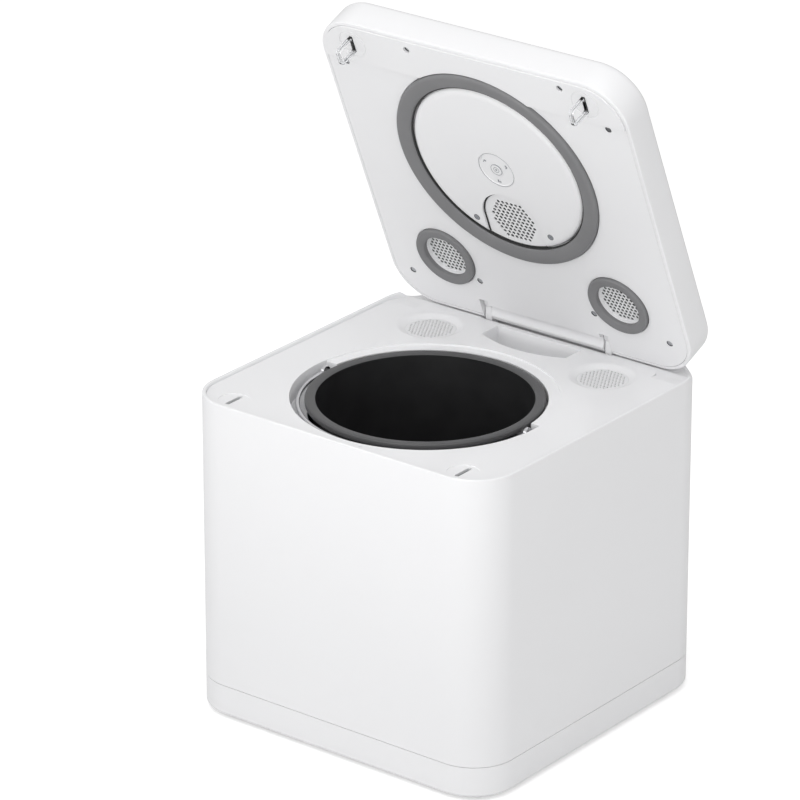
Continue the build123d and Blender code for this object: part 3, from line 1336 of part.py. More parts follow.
slat_pitch = (vent_size - 6) / vent_slats
with BuildPart() as exhaust_grille:
    with BuildSketch(Plane.XZ.offset(-depth / 2)):
        with Locations((0, fan_height)):
            RectangleRounded(vent_size - 2 * fit_gap, vent_size - 2 * fit_gap, 6)
            with GridLocations(0, slat_pitch, 1, vent_slats):
                SlotOverall(vent_size - 10, slat_pitch * 0.62, mode=Mode.SUBTRACT)
    extrude(amount=wall + 2.0)
save("exhaust_grille", exhaust_grille.part)

# Electrics -----------------------------------------------------------------------------------
coil_width = 26.0
coil_height = 22.0
capacitor_radius = 9.0
relay_width = 16.0
relay_length = 30.0
relay_height = 12.0
with BuildPart() as power_board:
    with BuildSketch(Plane((board_x, board_y, floor_top + board_lift))):
        Rectangle(board_width, board_length)
    extrude(amount=board_wall)
    with BuildSketch(Plane((board_x, board_y, floor_top + board_lift + board_wall))):
        with Locations((-board_width / 4, -board_length / 4)):
            Rectangle(coil_width, coil_width)
        with Locations((board_width / 4, -board_length / 4)):
            Circle(capacitor_radius)
    extrude(amount=coil_height)
    with BuildSketch(Plane((board_x, board_y, floor_top + board_lift + board_wall))):
        with GridLocations(board_width / 2, 0, 2, 1):
            with Locations((0, board_length / 6)):
                Rectangle(relay_width, relay_length)
    extrude(amount=relay_height)
save("power_board", power_board.part)

inlet_depth = 18.0
pin_length = 8.0
with BuildPart() as power_inlet:
    with BuildSketch(Plane.XZ.offset(-depth / 2)):
        with Locations((inlet_x, inlet_z)):
            RectangleRounded(inlet_width - 2 * fit_gap, inlet_height - 2 * fit_gap, 2)
    extrude(amount=inlet_depth)
    with BuildSketch(Plane.XZ.offset(-depth / 2)):
        with Locations((inlet_x, inlet_z)):
            RectangleRounded(inlet_width - 5, inlet_height - 5, 3)
    extrude(amount=inlet_depth - 4, mode=Mode.SUBTRACT)
    with BuildSketch(Plane.XZ.offset(-depth / 2 + inlet_depth - 4)):
        with Locations((inlet_x - 7, inlet_z - 2), (inlet_x, inlet_z + 2), (inlet_x + 7, inlet_z - 2)):
            Rectangle(2, 4)
    extrude(amount=-pin_length)
save("power_inlet", power_inlet.part)
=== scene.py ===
import json
import math

import bmesh
import bpy
from mathutils import Matrix, Vector
from mathutils.geometry import interpolate_bezier

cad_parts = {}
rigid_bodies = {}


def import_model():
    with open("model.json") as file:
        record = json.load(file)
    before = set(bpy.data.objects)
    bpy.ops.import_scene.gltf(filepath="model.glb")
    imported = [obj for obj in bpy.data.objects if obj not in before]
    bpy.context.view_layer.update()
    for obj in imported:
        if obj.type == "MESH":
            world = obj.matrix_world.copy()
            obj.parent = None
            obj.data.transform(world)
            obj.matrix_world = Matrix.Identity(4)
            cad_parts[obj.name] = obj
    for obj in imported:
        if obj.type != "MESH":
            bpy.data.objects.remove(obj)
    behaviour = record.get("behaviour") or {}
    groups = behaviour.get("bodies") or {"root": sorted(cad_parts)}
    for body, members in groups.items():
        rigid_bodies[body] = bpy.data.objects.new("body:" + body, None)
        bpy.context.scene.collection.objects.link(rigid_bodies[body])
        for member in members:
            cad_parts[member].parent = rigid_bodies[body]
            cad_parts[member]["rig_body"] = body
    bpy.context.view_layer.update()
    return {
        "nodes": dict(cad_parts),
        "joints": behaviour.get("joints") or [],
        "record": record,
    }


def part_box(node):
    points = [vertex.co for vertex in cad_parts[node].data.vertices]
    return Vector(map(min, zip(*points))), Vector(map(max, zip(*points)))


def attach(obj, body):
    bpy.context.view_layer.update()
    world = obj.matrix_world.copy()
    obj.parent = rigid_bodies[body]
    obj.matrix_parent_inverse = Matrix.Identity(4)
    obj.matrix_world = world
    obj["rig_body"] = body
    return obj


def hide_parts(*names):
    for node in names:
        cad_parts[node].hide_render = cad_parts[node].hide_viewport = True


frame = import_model()
mm = 0.001

# the lid is drawn closed and then turned to its open rest about the hinge
lidHinge = next(joint for joint in frame["joints"] if joint["name"] == "lid_hinge")
hingePoint = Vector(lidHinge["pos_m"])
lidOpening = math.radians(lidHinge["range_deg"][0])
openLid = (Matrix.Translation(hingePoint) @ Matrix.Rotation(lidOpening, 4, "X")
           @ Matrix.Translation(-hingePoint))
closeLid = openLid.inverted()

body = {
    "cornerRadius": 34 * mm,
    "wall": 3 * mm,
    "rimRound": 1.1 * mm,
    "cornerSteps": 24,
    "lidRound": 7 * mm,
    "lidGap": 0.6 * mm,
    "lidThickness": 28 * mm,
    "troughRadius": 14.81 * mm,
}
shellLow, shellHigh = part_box("outer_shell")
halfWidth = shellHigh.x
halfDepth = -shellLow.y
rimTop = shellHigh.z
lidUnder = rimTop + body["lidGap"]
lidTop = lidUnder + body["lidThickness"]
wellLow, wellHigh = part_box("bucket_well")
bucketY = (wellLow.y + wellHigh.y) / 2


# mesh helpers

def freshMesh():
    return bmesh.new()


def roundedBlock(halfX, halfY, low, high, radius, steps):
    # upright block with round corners in plan
    bm = freshMesh()
    bmesh.ops.create_cube(bm, size=2)
    for vert in bm.verts:
        vert.co = (vert.co.x * halfX, vert.co.y * halfY, low if vert.co.z < 0 else high)
    upright = [e for e in bm.edges if abs(e.verts[0].co.z - e.verts[1].co.z) > 1e-6]
    bmesh.ops.bevel(bm, geom=upright, offset=radius, offset_type="OFFSET", segments=steps,
                    profile=0.5, affect="EDGES", material=-1)
    return bm


def capFace(bm, top):
    # the widest face that looks straight up or straight down
    sign = 1 if top else -1
    bm.normal_update()
    level = [f for f in bm.faces if f.normal.z * sign > 0.99]
    return max(level, key=lambda f: f.calc_area())


def softenRim(bm, face, radius, steps):
    # rounds the whole edge loop of a face
    bmesh.ops.bevel(bm, geom=list(face.edges), offset=radius, offset_type="OFFSET", segments=steps,
                    profile=0.5, affect="EDGES", material=-1)


def hollowFrom(bm, top, wall, depthIn):
    # sinks a pocket into the cap face, leaving a wall round it
    face = capFace(bm, top)
    bmesh.ops.inset_region(bm, faces=[face], thickness=wall, use_even_offset=True)
    face = capFace(bm, top)
    pushed = bmesh.ops.extrude_discrete_faces(bm, faces=[face])["faces"]
    bmesh.ops.translate(bm, verts=list(pushed[0].verts), vec=(0, 0, -depthIn if top else depthIn))


def addCylinder(bm, centre, radius, low, high, steps=48, taper=1.0, turn=None):
    # upright cylinder, or one turned by a matrix about its centre
    place = Matrix.Translation((centre[0], centre[1], (low + high) / 2))
    if turn is not None:
        place = place @ turn
    made = bmesh.ops.create_cone(bm, cap_ends=True, segments=steps, radius1=radius, radius2=radius * taper,
                                 depth=high - low, matrix=place)
    return made["verts"]


def addBox(bm, low, high):
    made = bmesh.ops.create_cube(bm, size=1)["verts"]
    for vert in made:
        vert.co = Vector([low[i] if vert.co[i] < 0 else high[i] for i in range(3)])
    return made


def spinProfile(points, centre, steps, closed=True, turn=2 * math.pi):
    # turns a profile of (radius, height) points about an upright axis
    bm = freshMesh()
    ring = [bm.verts.new((centre[0] + r, centre[1], z)) for r, z in points]
    count = len(ring) if closed else len(ring) - 1
    edges = [bm.edges.new((ring[i], ring[(i + 1) % len(ring)])) for i in range(count)]
    bmesh.ops.spin(bm, geom=ring + edges, cent=(centre[0], centre[1], 0), axis=(0, 0, 1), angle=turn,
                   steps=steps, use_merge=turn > 6, use_duplicate=False)
    bmesh.ops.remove_doubles(bm, verts=bm.verts, dist=1e-6)
    return bm


def bend(start, startHandle, endHandle, end, steps=10):
    # smooth stretch of a profile, without its last point
    curve = interpolate_bezier(Vector((*start, 0)), Vector((*startHandle, 0)),
                               Vector((*endHandle, 0)), Vector((*end, 0)), steps + 1)
    return [(p.x, p.y) for p in curve[:-1]]


def asObject(bm, name, closeNormals=True):
    if closeNormals:
        bmesh.ops.recalc_face_normals(bm, faces=bm.faces)
    mesh = bpy.data.meshes.new(name)
    bm.to_mesh(mesh)
    bm.free()
    piece = bpy.data.objects.new(name, mesh)
    bpy.context.scene.collection.objects.link(piece)
    return piece


def settle(piece):
    # makes the modifiers' result the piece's own mesh
    bpy.context.view_layer.update()
    evaluated = piece.evaluated_get(bpy.context.evaluated_depsgraph_get())
    mesh = bpy.data.meshes.new_from_object(evaluated)
    piece.modifiers.clear()
    piece.data = mesh


def carve(piece, cutter):
    # takes the cutter's volume out of the piece
    modifier = piece.modifiers.new("cut", "BOOLEAN")
    modifier.operation = "DIFFERENCE"
    modifier.solver = "EXACT"
    modifier.object = cutter
    settle(piece)
    bpy.data.objects.remove(cutter)


def fuse(piece, other):
    # adds the other piece's volume to the piece
    modifier = piece.modifiers.new("fuse", "BOOLEAN")
    modifier.operation = "UNION"
    modifier.solver = "EXACT"
    modifier.object = other
    settle(piece)
    bpy.data.objects.remove(other)


def smoothShade(piece, degrees=32):
    piece.data.polygons.foreach_set("use_smooth", [True] * len(piece.data.polygons))
    piece.data.set_sharp_from_angle(angle=math.radians(degrees))


def softEdges(piece, width, segments=2, degrees=35):
    # rounds the sharp edges and keeps the flat faces flat to the light
    smoothShade(piece, degrees)
    rounding = piece.modifiers.new("edge", "BEVEL")
    rounding.width = width
    rounding.segments = segments
    rounding.limit_method = "ANGLE"
    rounding.angle_limit = math.radians(degrees)
    evening = piece.modifiers.new("evenFaces", "WEIGHTED_NORMAL")
    evening.keep_sharp = True
    settle(piece)


def finishPiece(piece, bodyName, material, slotName, *nodes, onLid=False):
    if onLid:
        piece.data.transform(openLid)
    piece.data.materials.clear()
    piece.data.materials.append(material)
    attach(piece, bodyName)
    if nodes:
        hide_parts(*nodes)
    return piece


def copyOfNode(node, name, weld=0.02 * mm, flatten=1.0):
    # merged copy of a CAD node, with its flat faces made whole
    bm = freshMesh()
    bm.from_mesh(frame["nodes"][node].data)
    bmesh.ops.remove_doubles(bm, verts=bm.verts, dist=weld)
    bmesh.ops.dissolve_limit(bm, angle_limit=math.radians(flatten), verts=bm.verts, edges=bm.edges)
    return asObject(bm, name, closeNormals=False)


# materials

def nodeGroup(name, inputs, outputs):
    group = bpy.data.node_groups.new(name, "ShaderNodeTree")
    for label, kind, value in inputs:
        socket = group.interface.new_socket(label, in_out="INPUT", socket_type=kind)
        socket.default_value = value
    for label, kind in outputs:
        group.interface.new_socket(label, in_out="OUTPUT", socket_type=kind)
    return group, group.nodes.new("NodeGroupInput"), group.nodes.new("NodeGroupOutput")


def makeSkin():
    # moulded surface: faint cloudy tone, uneven gloss and a fine grain
    colourKind, floatKind = "NodeSocketColor", "NodeSocketFloat"
    group, given, out = nodeGroup(
        "mouldedSkin",
        [("Colour", colourKind, (0.8, 0.8, 0.8, 1)), ("Shade", colourKind, (0.7, 0.7, 0.7, 1)),
         ("Gloss Low", floatKind, 0.3), ("Gloss High", floatKind, 0.4),
         ("Cloud Scale", floatKind, 9.0), ("Grain Scale", floatKind, 900.0)],
        [("Colour", colourKind), ("Roughness", floatKind), ("Height", floatKind)])
    nodes, links = group.nodes, group.links
    place = nodes.new("ShaderNodeTexCoord")
    cloud = nodes.new("ShaderNodeTexNoise")
    cloud.inputs["Detail"].default_value = 3
    grain = nodes.new("ShaderNodeTexNoise")
    grain.inputs["Detail"].default_value = 2
    links.new(place.outputs["Object"], cloud.inputs["Vector"])
    links.new(place.outputs["Object"], grain.inputs["Vector"])
    links.new(given.outputs["Cloud Scale"], cloud.inputs["Scale"])
    links.new(given.outputs["Grain Scale"], grain.inputs["Scale"])
    tone = nodes.new("ShaderNodeMix")
    tone.data_type = "RGBA"
    spread = nodes.new("ShaderNodeMapRange")
    spread.inputs["From Min"].default_value = 0.3
    spread.inputs["From Max"].default_value = 0.7
    links.new(cloud.outputs["Fac"], spread.inputs["Value"])
    links.new(spread.outputs["Result"], tone.inputs["Factor"])
    links.new(given.outputs["Colour"], tone.inputs["A"])
    links.new(given.outputs["Shade"], tone.inputs["B"])
    gloss = nodes.new("ShaderNodeMapRange")
    links.new(grain.outputs["Fac"], gloss.inputs["Value"])
    links.new(given.outputs["Gloss Low"], gloss.inputs["To Min"])
    links.new(given.outputs["Gloss High"], gloss.inputs["To Max"])
    links.new(tone.outputs["Result"], out.inputs["Colour"])
    links.new(gloss.outputs["Result"], out.inputs["Roughness"])
    links.new(grain.outputs["Fac"], out.inputs["Height"])
    return group


skin = makeSkin()


def surface(name, settings):
    # one finish: the skin group feeds colour, roughness and a bump
    material = bpy.data.materials.new(name)
    material.use_nodes = True
    nodes, links = material.node_tree.nodes, material.node_tree.links
    shader = nodes["Principled BSDF"]
    worker = nodes.new("ShaderNodeGroup")
    worker.node_tree = skin
    shade = settings.get("shade", [c * 0.97 for c in settings["colour"]])
    worker.inputs["Colour"].default_value = (*settings["colour"], 1)
    worker.inputs["Shade"].default_value = (*shade, 1)
    worker.inputs["Gloss Low"].default_value = settings["roughness"] - settings.get("uneven", 0.04)
    worker.inputs["Gloss High"].default_value = settings["roughness"] + settings.get("uneven", 0.04)
    worker.inputs["Cloud Scale"].default_value = settings.get("cloud", 9)
    worker.inputs["Grain Scale"].default_value = settings.get("grain", 900)
    links.new(worker.outputs["Colour"], shader.inputs["Base Color"])
    links.new(worker.outputs["Roughness"], shader.inputs["Roughness"])
    bump = nodes.new("ShaderNodeBump")
    bump.inputs["Strength"].default_value = settings.get("bump", 0.05)
    bump.inputs["Distance"].default_value = settings.get("bumpDistance", 0.0002)
    links.new(worker.outputs["Height"], bump.inputs["Height"])
    links.new(bump.outputs["Normal"], shader.inputs["Normal"])
    shader.inputs["Metallic"].default_value = settings.get("metallic", 0)
    shader.inputs["Specular IOR Level"].default_value = settings.get("specular", 0.5)
    shader.inputs["Coat Weight"].default_value = settings.get("coat", 0)
    shader.inputs["Coat Roughness"].default_value = settings.get("coatRoughness", 0.1)
    if "transmission" in settings:
        shader.inputs["Transmission Weight"].default_value = settings["transmission"]
        shader.inputs["IOR"].default_value = settings.get("ior", 1.5)
    return material


finishes = {
    "white_plastic": {"colour": (0.84, 0.84, 0.85), "roughness": 0.3, "coat": 0.25, "coatRoughness": 0.12,
                      "cloud": 6, "grain": 700, "bump": 0.03, "shade": (0.825, 0.825, 0.835)},
    "white_matte_plastic": {"colour": (0.83, 0.83, 0.84), "roughness": 0.48, "cloud": 7, "grain": 1100,
                            "bump": 0.06, "shade": (0.815, 0.815, 0.825)},
    "grey_seal_rubber": {"colour": (0.205, 0.205, 0.21), "roughness": 0.62, "cloud": 30, "grain": 1400,
                         "bump": 0.08, "shade": (0.19, 0.19, 0.195)},
    "black_rubber": {"colour": (0.03, 0.03, 0.03), "roughness": 0.7, "cloud": 40, "grain": 1500, "bump": 0.1},
    "clear_plastic": {"colour": (0.95, 0.96, 0.97), "roughness": 0.06, "uneven": 0.02, "cloud": 60,
                      "grain": 300, "bump": 0.01, "transmission": 1.0, "ior": 1.49},
    "nonstick_aluminium": {"colour": (0.022, 0.022, 0.023), "roughness": 0.36, "cloud": 50, "grain": 2200,
                           "bump": 0.12, "shade": (0.016, 0.016, 0.017)},
    "rim_grey": {"colour": (0.075, 0.075, 0.077), "roughness": 0.4, "cloud": 30, "grain": 1500, "bump": 0.08},
    "polished_steel": {"colour": (0.78, 0.78, 0.8), "roughness": 0.1, "metallic": 1, "cloud": 40,
                       "grain": 500, "bump": 0.01, "uneven": 0.03},
    "zinc_steel": {"colour": (0.5, 0.51, 0.53), "roughness": 0.35, "metallic": 1, "cloud": 60, "grain": 800},
    "raw_aluminium": {"colour": (0.66, 0.67, 0.68), "roughness": 0.38, "metallic": 1, "cloud": 20,
                      "grain": 900, "bump": 0.05},
    "heater_mica": {"colour": (0.42, 0.38, 0.32), "roughness": 0.5, "metallic": 0.8, "cloud": 40, "grain": 600},
    "grey_plastic": {"colour": (0.27, 0.28, 0.3), "roughness": 0.5, "cloud": 20, "grain": 900, "bump": 0.08},
    "black_plastic": {"colour": (0.025, 0.025, 0.027), "roughness": 0.42, "cloud": 20, "grain": 1200,
                      "bump": 0.08},
    "gear_nylon": {"colour": (0.7, 0.67, 0.58), "roughness": 0.45, "cloud": 50, "grain": 900},
    "circuit_board": {"colour": (0.02, 0.13, 0.06), "shade": (0.03, 0.17, 0.08), "roughness": 0.4,
                      "cloud": 90, "grain": 700},
    "carbon_filter_shell": {"colour": (0.05, 0.05, 0.052), "roughness": 0.55, "cloud": 30, "grain": 900},
    "bronze": {"colour": (0.48, 0.3, 0.11), "roughness": 0.4, "metallic": 1, "cloud": 90, "grain": 1500},
    "black_lens": {"colour": (0.012, 0.012, 0.014), "roughness": 0.1, "uneven": 0.02, "coat": 0.5,
                   "cloud": 10, "grain": 400, "bump": 0.01},
}
materials = {name: surface(name, settings) for name, settings in finishes.items()}
slotOfNode = {part["node"]: part["material_slot"] for part in frame["record"]["subparts"]}
for node, shown in frame["nodes"].items():
    shown.data.materials.clear()
    shown.data.materials.append(materials[slotOfNode[node]])
print("materials ready")


# body sleeve

def troughCutter(name):
    bm = freshMesh()
    addCylinder(bm, (0, hingePoint.y), body["troughRadius"], hingePoint.z - 2 * halfWidth,
                hingePoint.z + 2 * halfWidth, steps=96, turn=Matrix.Rotation(math.pi / 2, 4, "Y"))
    return asObject(bm, name)


def makeShell():
    bm = roundedBlock(halfWidth, halfDepth, shellLow.z, rimTop, body["cornerRadius"], body["cornerSteps"])
    for top in (True, False):
        bmesh.ops.inset_region(bm, faces=[capFace(bm, top)], thickness=body["wall"], use_even_offset=True)
    lids = [capFace(bm, True), capFace(bm, False)]
    rims = [list(lid.edges) for lid in lids]
    bmesh.ops.delete(bm, geom=lids, context="FACES_ONLY")
    bmesh.ops.bridge_loops(bm, edges=rims[0] + rims[1])
    topEdges = [e for e in bm.edges if all(abs(v.co.z - rimTop) < 1e-6 for v in e.verts)
                and abs(e.calc_face_angle(0)) > 0.5]
    bmesh.ops.bevel(bm, geom=topEdges, offset=body["rimRound"], offset_type="OFFSET", segments=4,
                    profile=0.5, affect="EDGES", material=-1)
    piece = asObject(bm, "bodySleeve")
    carve(piece, troughCutter("troughTool"))
    ventLow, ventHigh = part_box("exhaust_grille")
    inletLow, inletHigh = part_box("power_inlet")
    holes = freshMesh()
    for low, high in ((ventLow, ventHigh), (inletLow, inletHigh)):
        addBox(holes, (low.x, halfDepth - 2 * body["wall"], low.z), (high.x, halfDepth + body["wall"], high.z))
    carve(piece, asObject(holes, "rearHoles"))
    smoothShade(piece)
    return finishPiece(piece, "body", materials["white_plastic"], "white_plastic", "outer_shell")


makeShell()
print("body sleeve made")


# lid cover

def makeLidCover():
    bm = roundedBlock(halfWidth, halfDepth, lidUnder, lidTop, body["cornerRadius"], body["cornerSteps"])
    softenRim(bm, capFace(bm, True), body["lidRound"], 10)
    softenRim(bm, capFace(bm, False), body["rimRound"], 4)
    hollowFrom(bm, False, body["wall"] - body["rimRound"], 18 * mm)
    piece = asObject(bm, "lidCover")
    slots = freshMesh()
    for side in (-1, 1):
        centre = side * 54.5 * mm
        addBox(slots, (centre - 3.8 * mm, halfDepth - 6 * mm, lidUnder - 5 * mm),
               (centre + 3.8 * mm, halfDepth + 5 * mm, hingePoint.z + 2.3 * mm))
    carve(piece, asObject(slots, "lugSlots"))
    smoothShade(piece)
    return finishPiece(piece, "lid", materials["white_plastic"], "white_plastic", "lid_cover", onLid=True)


makeLidCover()
print("lid cover made")


# seals

def makeSeal(name, node, centre, outer, inner, height, highSide, seat):
    # rubber ring with a one-sided bulge, base in its seat
    base, tip = lidUnder + seat, lidUnder - height
    shoulder = lidUnder - 1.0 * mm
    points = [(inner, base), (inner, shoulder)]
    points += bend((inner, shoulder), (inner + 0.2 * mm, shoulder - 0.8 * mm),
                   (highSide - 5 * mm, tip + 0.5 * mm), (highSide, tip), 10)[1:]
    points += bend((highSide, tip), (highSide + 2.2 * mm, tip), (outer, tip + 0.6 * mm),
                   (outer, lidUnder - 0.6 * mm), 10)
    points += [(outer, lidUnder - 0.6 * mm), (outer, base)]
    piece = asObject(spinProfile(points, centre, 160), name)
    smoothShade(piece, 50)
    return finishPiece(piece, "lid", materials["grey_seal_rubber"], "grey_seal_rubber", node, onLid=True)


makeSeal("mainSeal", "main_gasket", (0, bucketY), 86.1 * mm, 74 * mm, 3.3 * mm, 82.9 * mm, 2 * mm)
for side, word in ((-1, "left"), (1, "right")):
    makeSeal(word + "Seal", "side_gasket_" + word, (side * 78 * mm, 80.5 * mm), 25.4 * mm, 18.2 * mm,
             2.7 * mm, 23.2 * mm, 1.5 * mm)
print("seals made")


# deck: plate, channel wall and rear ledge shown as the one moulding that they form

def makeDeck():
    reach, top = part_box("channel_rim")[1].x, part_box("channel_rim")[1].z
    piece = copyOfNode("top_deck", "deck", flatten=0.4)
    seam = [(reach - 0.3 * mm, top - 2.5 * mm), (reach + 0.5 * mm, top - 2.5 * mm),
            (reach + 0.5 * mm, top), (reach - 0.3 * mm, top)]
    fuse(piece, copyOfNode("channel_rim", "channelTool", flatten=0.4))
    fuse(piece, copyOfNode("rear_ledge", "ledgeTool", flatten=0.4))
    fuse(piece, asObject(spinProfile(seam, (0, bucketY), 240), "seamTool"))
    bm = freshMesh()
    bm.from_mesh(piece.data)
    bmesh.ops.remove_doubles(bm, verts=bm.verts, dist=0.02 * mm)
    bmesh.ops.dissolve_limit(bm, angle_limit=math.radians(0.4), verts=bm.verts, edges=bm.edges)
    bm.to_mesh(piece.data)
    bm.free()
    softEdges(piece, 0.45 * mm, 3, 30)
    return finishPiece(piece, "body", materials["white_plastic"], "white_plastic",
                       "top_deck", "channel_rim", "rear_ledge")


makeDeck()
print("deck made")


# pieces kept from the frame with their edges softened

softened = {
    "lid_inner_panel": ("lidPanel", 0.3 * mm),
    "hinge_bracket": ("hingeBracket", 0.4 * mm),
    "latch_loop_left": ("loopLeft", 0.35 * mm),
    "latch_loop_right": ("loopRight", 0.35 * mm),
    "base_tray": ("lowerTray", 0.3 * mm),
    "well_collar": ("wellCollar", 0.25 * mm),
    "bucket_rim": ("bucketRing", 0.6 * mm),
}
for node, (name, width) in softened.items():
    piece = copyOfNode(node, name)
    softEdges(piece, width)
    material = slotOfNode[node]
    finishPiece(piece, frame["nodes"][node]["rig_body"], materials[material], material, node)
print("softened pieces made")


# steam plate and its cap

plate = {
    "face": 246.5 * mm,
    "screwX": 33 * mm,
    "screwY": 27.5 * mm,
    "screwRadius": 2.2 * mm,
    "screwSink": 0.9 * mm,
    # radii of the black ring that is painted shade in the groove round the plate
    "grooveShadeInner": 72.95 * mm,
    "grooveShadeOuter": 73.95 * mm,
    "wells": [(x * mm, y * mm) for x, y in ((-52, -124.3), (82.5, -125.4), (-115.7, -96), (115.7, -96),
                                            (-116.3, 106), (116.3, 106), (-51.7, 97.3), (51.7, 97.3))],
    "capRings": ((2.1 * mm, 2.45 * mm), (0.3 * mm, 0.8 * mm), (4.6 * mm, 4.85 * mm), (14.9 * mm, 15.2 * mm)),
    "capMarkReach": 11.2 * mm,
    "capMarkAngles": (91, 211, 331),
}


def makeSteamPlate():
    piece = copyOfNode("steam_plate", "steamPlate")
    piece.data.transform(closeLid)
    holes, heads = freshMesh(), freshMesh()
    radius, sink = plate["screwRadius"], plate["screwSink"]
    for side in (-1, 1):
        centre = (side * plate["screwX"], plate["screwY"])
        addCylinder(holes, centre, radius + 0.35 * mm, plate["face"] - 1 * mm, plate["face"] + sink + 0.2 * mm, 40)
    carve(piece, asObject(holes, "screwHoles"))
    softEdges(piece, 0.22 * mm)
    finishPiece(piece, "lid", materials["white_matte_plastic"], slotOfNode["steam_plate"], "steam_plate", onLid=True)
    for side in (-1, 1):
        centre = (side * plate["screwX"], plate["screwY"])
        addCylinder(heads, centre, radius, plate["face"] - 0.06 * mm, plate["face"] + sink + 0.15 * mm, 40)
    screws = asObject(heads, "plateScrews")
    for side in (-1, 1):
        x, y = side * plate["screwX"], plate["screwY"]
        for long, wide in ((1.2 * mm, 0.25 * mm), (0.25 * mm, 1.2 * mm)):
            bar = freshMesh()
            addBox(bar, (x - long, y - wide, plate["face"] - 1 * mm), (x + long, y + wide, plate["face"] + 0.4 * mm))
            carve(screws, asObject(bar, "crossTool"))
    softEdges(screws, 0.1 * mm)
    finishPiece(screws, "lid", materials["grey_plastic"], "grey_plastic", onLid=True)


def makeCentreCap():
    piece = copyOfNode("centre_cap", "centreCap")
    piece.data.transform(closeLid)
    softEdges(piece, 0.2 * mm)
    return finishPiece(piece, "lid", materials["white_matte_plastic"], slotOfNode["centre_cap"], "centre_cap", onLid=True)


def makePaintedGrooveShade():
    # dark ring painted as the shade in the groove between the seal and the plate, not a part of the seal
    low, high = lidUnder - 0.5 * mm, lidUnder + 0.6 * mm
    points = [(plate["grooveShadeInner"], low), (plate["grooveShadeOuter"], low), (plate["grooveShadeOuter"], high), (plate["grooveShadeInner"], high)]
    piece = asObject(spinProfile(points, (0, bucketY), 160), "paintedGrooveShade")
    smoothShade(piece, 40)
    finishPiece(piece, "lid", materials["black_rubber"], "black_rubber", onLid=True)


def makeScrewHoleShade():
    # dark rings painted as the shade at the mouths of the lid's screw holes
    wells = freshMesh()
    screwSpots = [(x, y, lidUnder + 0.4 * mm) for x, y in plate["wells"]]
    screwSpots += [(side * plate["screwX"], plate["screwY"], plate["face"] - 0.1 * mm) for side in (-1, 1)]
    covers = freshMesh()
    for x, y, foot in screwSpots:
        # black ring painted as the shade in the hole's mouth
        ring = [(2.25 * mm, foot), (2.55 * mm, foot), (2.55 * mm, foot + 1 * mm), (2.25 * mm, foot + 1 * mm)]
        if foot > lidUnder:
            addCylinder(covers, (x, y), 2.2 * mm, foot + 0.3 * mm, foot + 0.7 * mm, 32)
        part = spinProfile(ring, (x, y), 32)
        mesh = bpy.data.meshes.new("holeShadeRing")
        part.to_mesh(mesh)
        part.free()
        wells.from_mesh(mesh)
    for bm, name, finish in ((wells, "screwHoleShade", "black_rubber"), (covers, "screwFloors", "zinc_steel")):
        piece = asObject(bm, name)
        smoothShade(piece, 40)
        finishPiece(piece, "lid", materials[finish], finish, onLid=True)


def makeCapMarks():
    # fine rings and corner marks standing a hair proud of the cap
    bm = freshMesh()
    low, high = plate["face"] - 0.1 * mm, plate["face"] + 0.8 * mm
    for inner, outer in plate["capRings"]:
        ring = spinProfile([(inner, low), (outer, low), (outer, high), (inner, high)], (0, bucketY), 64)
        mesh = bpy.data.meshes.new("markRing")
        ring.to_mesh(mesh)
        ring.free()
        bm.from_mesh(mesh)
    reach = plate["capMarkReach"]
    for degrees in plate["capMarkAngles"]:
        place = Matrix.Translation((0, bucketY, 0)) @ Matrix.Rotation(math.radians(degrees), 4, "Z")
        marks = addBox(bm, (reach, -1.3 * mm, low), (reach + 0.35 * mm, 1.3 * mm, high))
        marks += addBox(bm, (reach - 1.6 * mm, 1 * mm, low), (reach - 0.02 * mm, 1.35 * mm, high))
        bmesh.ops.transform(bm, matrix=place, verts=marks)
    piece = asObject(bm, "capMarks")
    smoothShade(piece, 40)
    finishPiece(piece, "lid", materials["grey_plastic"], "grey_plastic", onLid=True)


makeSteamPlate()
makeCentreCap()
makePaintedGrooveShade()
makeScrewHoleShade()
makeCapMarks()
print("steam plate made")


# grilles: thin plates with round holes over a dark screen

grilles = {
    "steam": {"holeRadius": 1.4 * mm, "pitchX": 3.9 * mm, "pitchY": 3.2 * mm, "field": 18.9 * mm,
              "centre": (0, 23.3 * mm), "low": 248.7 * mm, "arch": 26 * mm, "edge": 72.65 * mm},
    "lid": {"holeRadius": 1.3 * mm, "pitchX": 3.5 * mm, "pitchY": 3.05 * mm, "field": 16.6 * mm,
            "low": 252.1 * mm, "radius": 20.7 * mm, "centre": (78 * mm, 80.5 * mm)},
    "deck": {"holeRadius": 0.85 * mm, "pitchX": 2.9 * mm, "pitchY": 2.55 * mm, "field": 17 * mm,
             "low": 241.4 * mm, "radius": 18.85 * mm, "centre": (78 * mm, 80.5 * mm)},
}
grilleWall = 0.6 * mm


def staggered(settings):
    # hole places in offset rows inside a round field
    rows = int(settings["field"] / settings["pitchY"])
    columns = int(settings["field"] / settings["pitchX"]) + 1
    for row in range(-rows, rows + 1):
        shift = settings["pitchX"] / 2 if row % 2 else 0
        for column in range(-columns, columns + 1):
            x, y = column * settings["pitchX"] + shift, row * settings["pitchY"]
            if math.hypot(x, y) <= settings["field"]:
                yield x, y


def archOutline(settings, steps=40):
    # half circle towards the middle, straight flanks, and the plate's own curve behind
    radius, edge, middle = settings["arch"], settings["edge"], settings["centre"][1]
    points = [(radius * math.cos(math.pi + math.pi * i / steps), middle + radius * math.sin(math.pi + math.pi * i / steps))
              for i in range(steps + 1)]
    spread = math.asin(radius / edge)
    points += [(edge * math.sin(spread - 2 * spread * i / steps), bucketY + edge * math.cos(spread - 2 * spread * i / steps))
               for i in range(steps + 1)]
    return points


